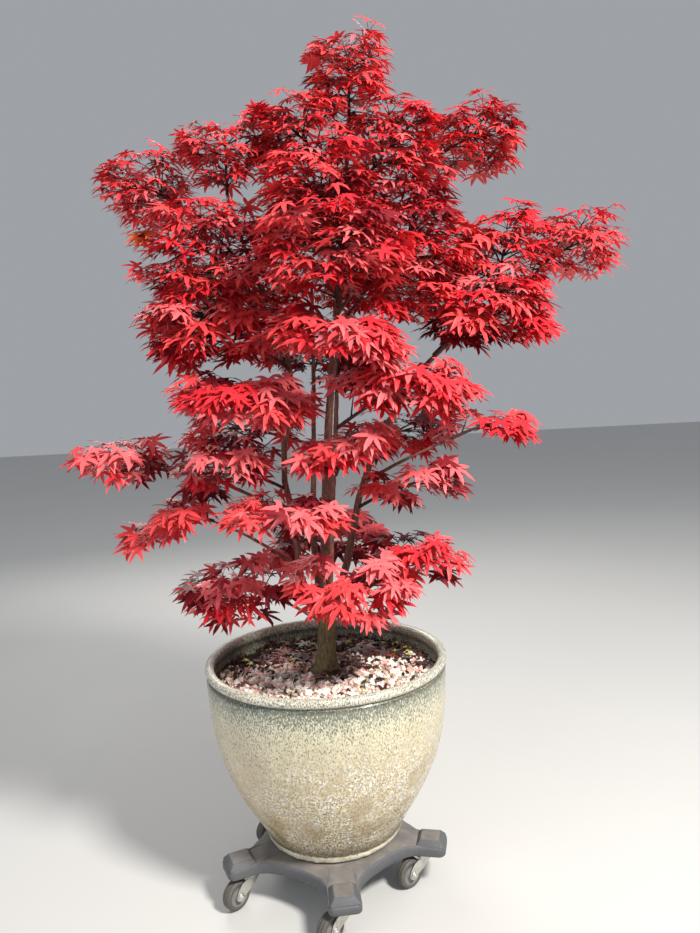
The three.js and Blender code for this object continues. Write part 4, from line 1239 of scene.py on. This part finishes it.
def tube(points, foot, tip, sides):
    """A thin tube that narrows to a point, as a part."""
    points = np.asarray(points)
    count = len(points)
    along = np.gradient(points, axis=0)
    along /= np.linalg.norm(along, axis=1)[:, None] + 1e-12
    guide = np.array((0.31, 0.94, 0.12)) if abs(along[0][1]) < 0.9 else np.array((1.0, 0.0, 0.0))
    side = np.cross(along, guide)
    side /= np.linalg.norm(side, axis=1)[:, None] + 1e-12
    other = np.cross(along, side)
    radii = np.linspace(foot, tip, count)[:, None, None]
    turns = np.linspace(0, 2 * math.pi, sides, endpoint=False)[None, :, None]
    around = np.cos(turns) * side[:, None, :] + np.sin(turns) * other[:, None, :]
    rings = points[:, None, :] + radii * around
    skin = np.concatenate([rings.reshape(-1, 3), points[-1:] + along[-1:] * tip])
    last = (count - 1) * sides
    end = [(last + step, last + (step + 1) % sides, count * sides) for step in range(sides)]
    return skin, halves(ring_faces(count, sides)) + end


def spray_colour(point, random):
    """Deals a colour to a spray by where it is in the crown."""
    side = point[0] - pot_axis.x
    front = pot_axis.y - point[1]
    height = point[2]
    shares = {"scarlet": 0.5, "crimson": 0.28, "coral_and_painted_sheen": 0.06, "maroon_and_painted_shade": 0.08, "orange": 0.0, "bronze": 0.0}
    # Coral at the front and low down: partly a paler red, partly the painted pink sheen of sunlit leaves
    if (front > 0.12 and height < 1.3) or height < 0.95:
        shares["coral_and_painted_sheen"] += 0.42
    # Maroon inside the lower crown, where shade falls: partly a darker red, partly painted shade
    if height < 1.2 and front < 0.1 and abs(side) < 0.33:
        shares["maroon_and_painted_shade"] += 1.3 if front < 0.02 else 0.6
    if side < -0.27 and height > 1.3:
        shares["orange"] += 0.05
    if side < -0.42 and height < 1.05:
        shares["bronze"] += 0.12
    weights = np.array([shares[name] for name in COLOUR_NAMES])
    return int(random.choice(len(COLOUR_NAMES), p=weights / weights.sum()))


class Mass:
    """A mass of foliage: the rounded pad about its solid's box, and the twigs and leaves that fill it."""

    def __init__(self, node, foot, random):
        low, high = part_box(node)
        self.node = node
        self.foot = np.array(foot)
        self.random = random
        self.colour = 0
        self.twigs = []
        self.leaves = []
        self.lean = np.zeros(2)
        self.centre = np.array((low + high) / 2)
        self.half = np.array((high - low) / 2) * SPACE_GROWTH + SPACE_EXTRA
        if OPEN_LOW < self.centre[2] < OPEN_HIGH:
            self.half[2] *= PAD_FLATNESS
            self.lean = random.normal(0, PAD_LEAN, 2)
            if abs(self.centre[0] - pot_axis.x) < INNER_REACH:
                self.half[:2] *= INNER_SHARE

    def place(self, out, reach):
        """The point in a direction from the centre, at a share of the way to the edge."""
        offset = self.half * out * reach
        offset[2] += self.lean @ offset[:2]
        return self.centre + offset

    def holds(self, tip):
        """Whether a leaf's tip is inside the pad and inside the model's box."""
        offset = tip - self.centre
        offset[2] -= self.lean @ offset[:2]
        inside = np.all(tip > bounds_low) and np.all(tip < bounds_high)
        return inside and np.linalg.norm(offset / self.half) < LEAF_REACH

    def grow_leaf(self, root, toward):
        """One leaf on its stalk, hanging outwards and down from where the stalk leaves the twig."""
        random = self.random
        stalk = STALK_LENGTH * random.uniform(0.7, 1.25)
        direction = unit(toward + UP * random.uniform(0.0, 0.35))
        place = root + direction * stalk
        outward = unit((place - self.centre) * LEVEL + 1e-6)
        level = unit(toward * LEVEL + 1e-6)
        forward = unit(level + outward * 0.6 + random.normal(0, 0.22, 3) * np.array((1, 1, 0.2)))
        is_high = place[2] > FLAT_ABOVE
        dip = random.uniform(-0.05, 0.5) if is_high else random.uniform(0.05, 0.65)
        forward = unit(forward - UP * dip)
        side = unit(np.cross(UP, forward))
        roll = random.normal(0, 0.3)
        normal = unit(np.cross(forward, side) * math.cos(roll) + side * math.sin(roll))
        normal = unit(normal + LIGHT_SIDE * (HIGH_PULL if is_high else LOW_PULL))
        forward = unit(forward - normal * float(forward @ normal))
        size = LEAF_LENGTH * random.uniform(0.7, 1.2) * (HIGH_LEAF_SIZE if is_high else 1)
        if not self.holds(place + forward * size):
            return
        is_mixed = random.uniform() < MIXED_SHARE
        colour = int(random.choice(MIXED_IN)) if is_mixed else self.colour
        bend = root + direction * stalk * 0.5 + UP * 0.002
        self.twigs.append(tube([root, bend, place], *STALK))
        shape = int(random.integers(len(leaf_shapes)))
        self.leaves.append(leaf_part(shape, place, forward, normal, size, colour))

    def grow_pair(self, root, along, flat):
        """Two leaves on opposite sides of a twig. Pairs take turns to lie level and upright."""
        side = unit(np.cross(along, UP))
        if not flat:
            side = unit(side * 0.55 + UP * 0.5)
        for way in (-1, 1):
            self.grow_leaf(root, unit(side * way + along * 0.55))

    def grow_shoot(self, root, direction, length):
        """A short side shoot with a pair of leaves and a last leaf at its tip."""
        end = root + direction * length
        path = arc_points(root, (root + end) / 2 + UP * length * 0.12, end, 4)
        self.twigs.append(tube(path, *SHOOT))
        tip = unit(path[3] - path[2])
        self.grow_pair(path[2], unit(path[2] - path[1]), True)
        self.grow_pair(path[3], tip, False)
        self.grow_leaf(path[3], tip)

    def grow_twig(self, feeder, end):
        """A twig from the feeding stem to a seeded place, with its side shoots and leaves."""
        nearest = int(np.argmin(np.linalg.norm(feeder - end, axis=1)))
        root = feeder[max(2, nearest - 3)]
        length = float(np.linalg.norm(end - root))
        middle = (root + end) / 2 + UP * length * 0.16 + self.random.normal(0, 0.05, 3) * length
        count = max(4, int(length / 0.018))
        path = arc_points(root, middle, end, count)
        self.twigs.append(tube(path, 0.0016 + 0.004 * length, 0.0007, 4))
        for index in range(max(2, int(length * 0.75 / NODE_SPACING))):
            t = 1 - index * NODE_SPACING / max(length, 0.02)
            if t < 0.2:
                break
            at = int(round(t * (count - 1)))
            along = unit(path[max(1, at)] - path[max(0, at - 1)])
            if index % 2 == 1 and length > 0.05:
                side = unit(np.cross(along, UP))
                for way in (-1, 1):
                    direction = unit(side * way + along * 0.8 + self.random.normal(0, 0.15, 3))
                    self.grow_shoot(path[at], direction, self.random.uniform(0.028, 0.052))
            else:
                self.grow_pair(path[at], along, index % 4 == 0)
        tip = unit(path[-1] - path[-2])
        self.grow_pair(path[-1], tip, False)
        self.grow_leaf(path[-1], tip)

    def grow(self):
        """The feeding stem from its foot into the mass, and a twig to each seeded place."""
        onward = unit(self.centre - self.foot)
        end = self.centre + onward * 0.3 * self.half[0]
        middle = (self.foot + end) / 2 + UP * 0.08 * np.linalg.norm(end - self.foot)
        feeder = arc_points(self.foot - onward * 0.004, middle, end, 18)
        self.twigs.append(tube(feeder, *FEEDER))
        volume = float(np.prod(self.half)) ** (1 / 3)
        fullness = next(share for top, share in FULLNESS if self.centre[2] < top)
        twigs = int(round(TWIGS_PER_MASS * fullness * (volume / 0.1) ** TWIGS_POWER))
        for index in range(twigs):
            height = (1 - 2 * (index + 0.5) / twigs) * 0.9
            level = math.sqrt(1 - height * height)
            turn = index * GOLDEN_TURN + self.random.uniform(-0.4, 0.4)
            out = np.array((level * math.cos(turn), level * math.sin(turn), height))
            end = self.place(out, self.random.uniform(0.5, 0.78))
            self.colour = spray_colour(end, self.random)
            self.grow_twig(feeder, end)


print("growing rule ready")

# %% [markdown]
# ## Where each mass is fed from
# The frame doesn't say which limb feeds which mass, but the solids do: the foot of a mass's stem stops a
# third of a millimetre short of its limb. A search tree over the limbs finds the points of each mass that
# lie that close, and their mean is the foot.

# %% Finding the feet and growing the crown
TOUCHING = 0.0007
FOOT_REACH = 0.012
limb_trees = {name: BVHTree.FromPolygons(*solid_part(name)) for name in LIMBS}


def find_foot(node):
    """The limb that feeds a mass, and the place where its stem leaves the limb."""
    corners = [Vector(point) for point in solid_part(node)[0]]
    best = (1e9, None, None)
    for name, tree in limb_trees.items():
        for corner in corners:
            found = tree.find_nearest(corner, 0.02)
            if found[3] is not None and found[3] < best[0]:
                best = (found[3], name, found[0])
    _, name, touch = best
    near = [corner for corner in corners if (corner - touch).length < FOOT_REACH
            and limb_trees[name].find_nearest(corner)[3] < TOUCHING]
    return name, sum(near, Vector()) / len(near) if near else touch


def grow_masses():
    """The masses of the crown, grown and sorted by the stem they belong to. Boughs make one group."""
    random = np.random.default_rng(2024)
    groups = {}
    for node in sorted(name for name in frame["nodes"] if name.startswith("foliage_")):
        limb, foot = find_foot(node)
        mass = Mass(node, foot, random)
        mass.grow()
        group = limb.removeprefix("stem_") if limb.startswith("stem_") else "boughs"
        groups.setdefault(group, []).append(mass)
    return groups


def make_crown():
    total = 0
    for group, masses in grow_masses().items():
        parts = [leaf for mass in masses for leaf in mass.leaves]
        leaves = mesh_object(f"leaves_{group}", parts, leaf_materials)
        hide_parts(*[mass.node for mass in masses])
        twigs = mesh_object(f"twigs_{group}", [twig for mass in masses for twig in mass.twigs], [twig_bark])
        total += len(parts)
        print(group, len(masses), "masses,", len(parts), "leaves,", len(leaves.data.polygons), "leaf faces,",
              len(twigs.data.polygons), "twig faces")
    return total


print("crown", make_crown(), "leaves")
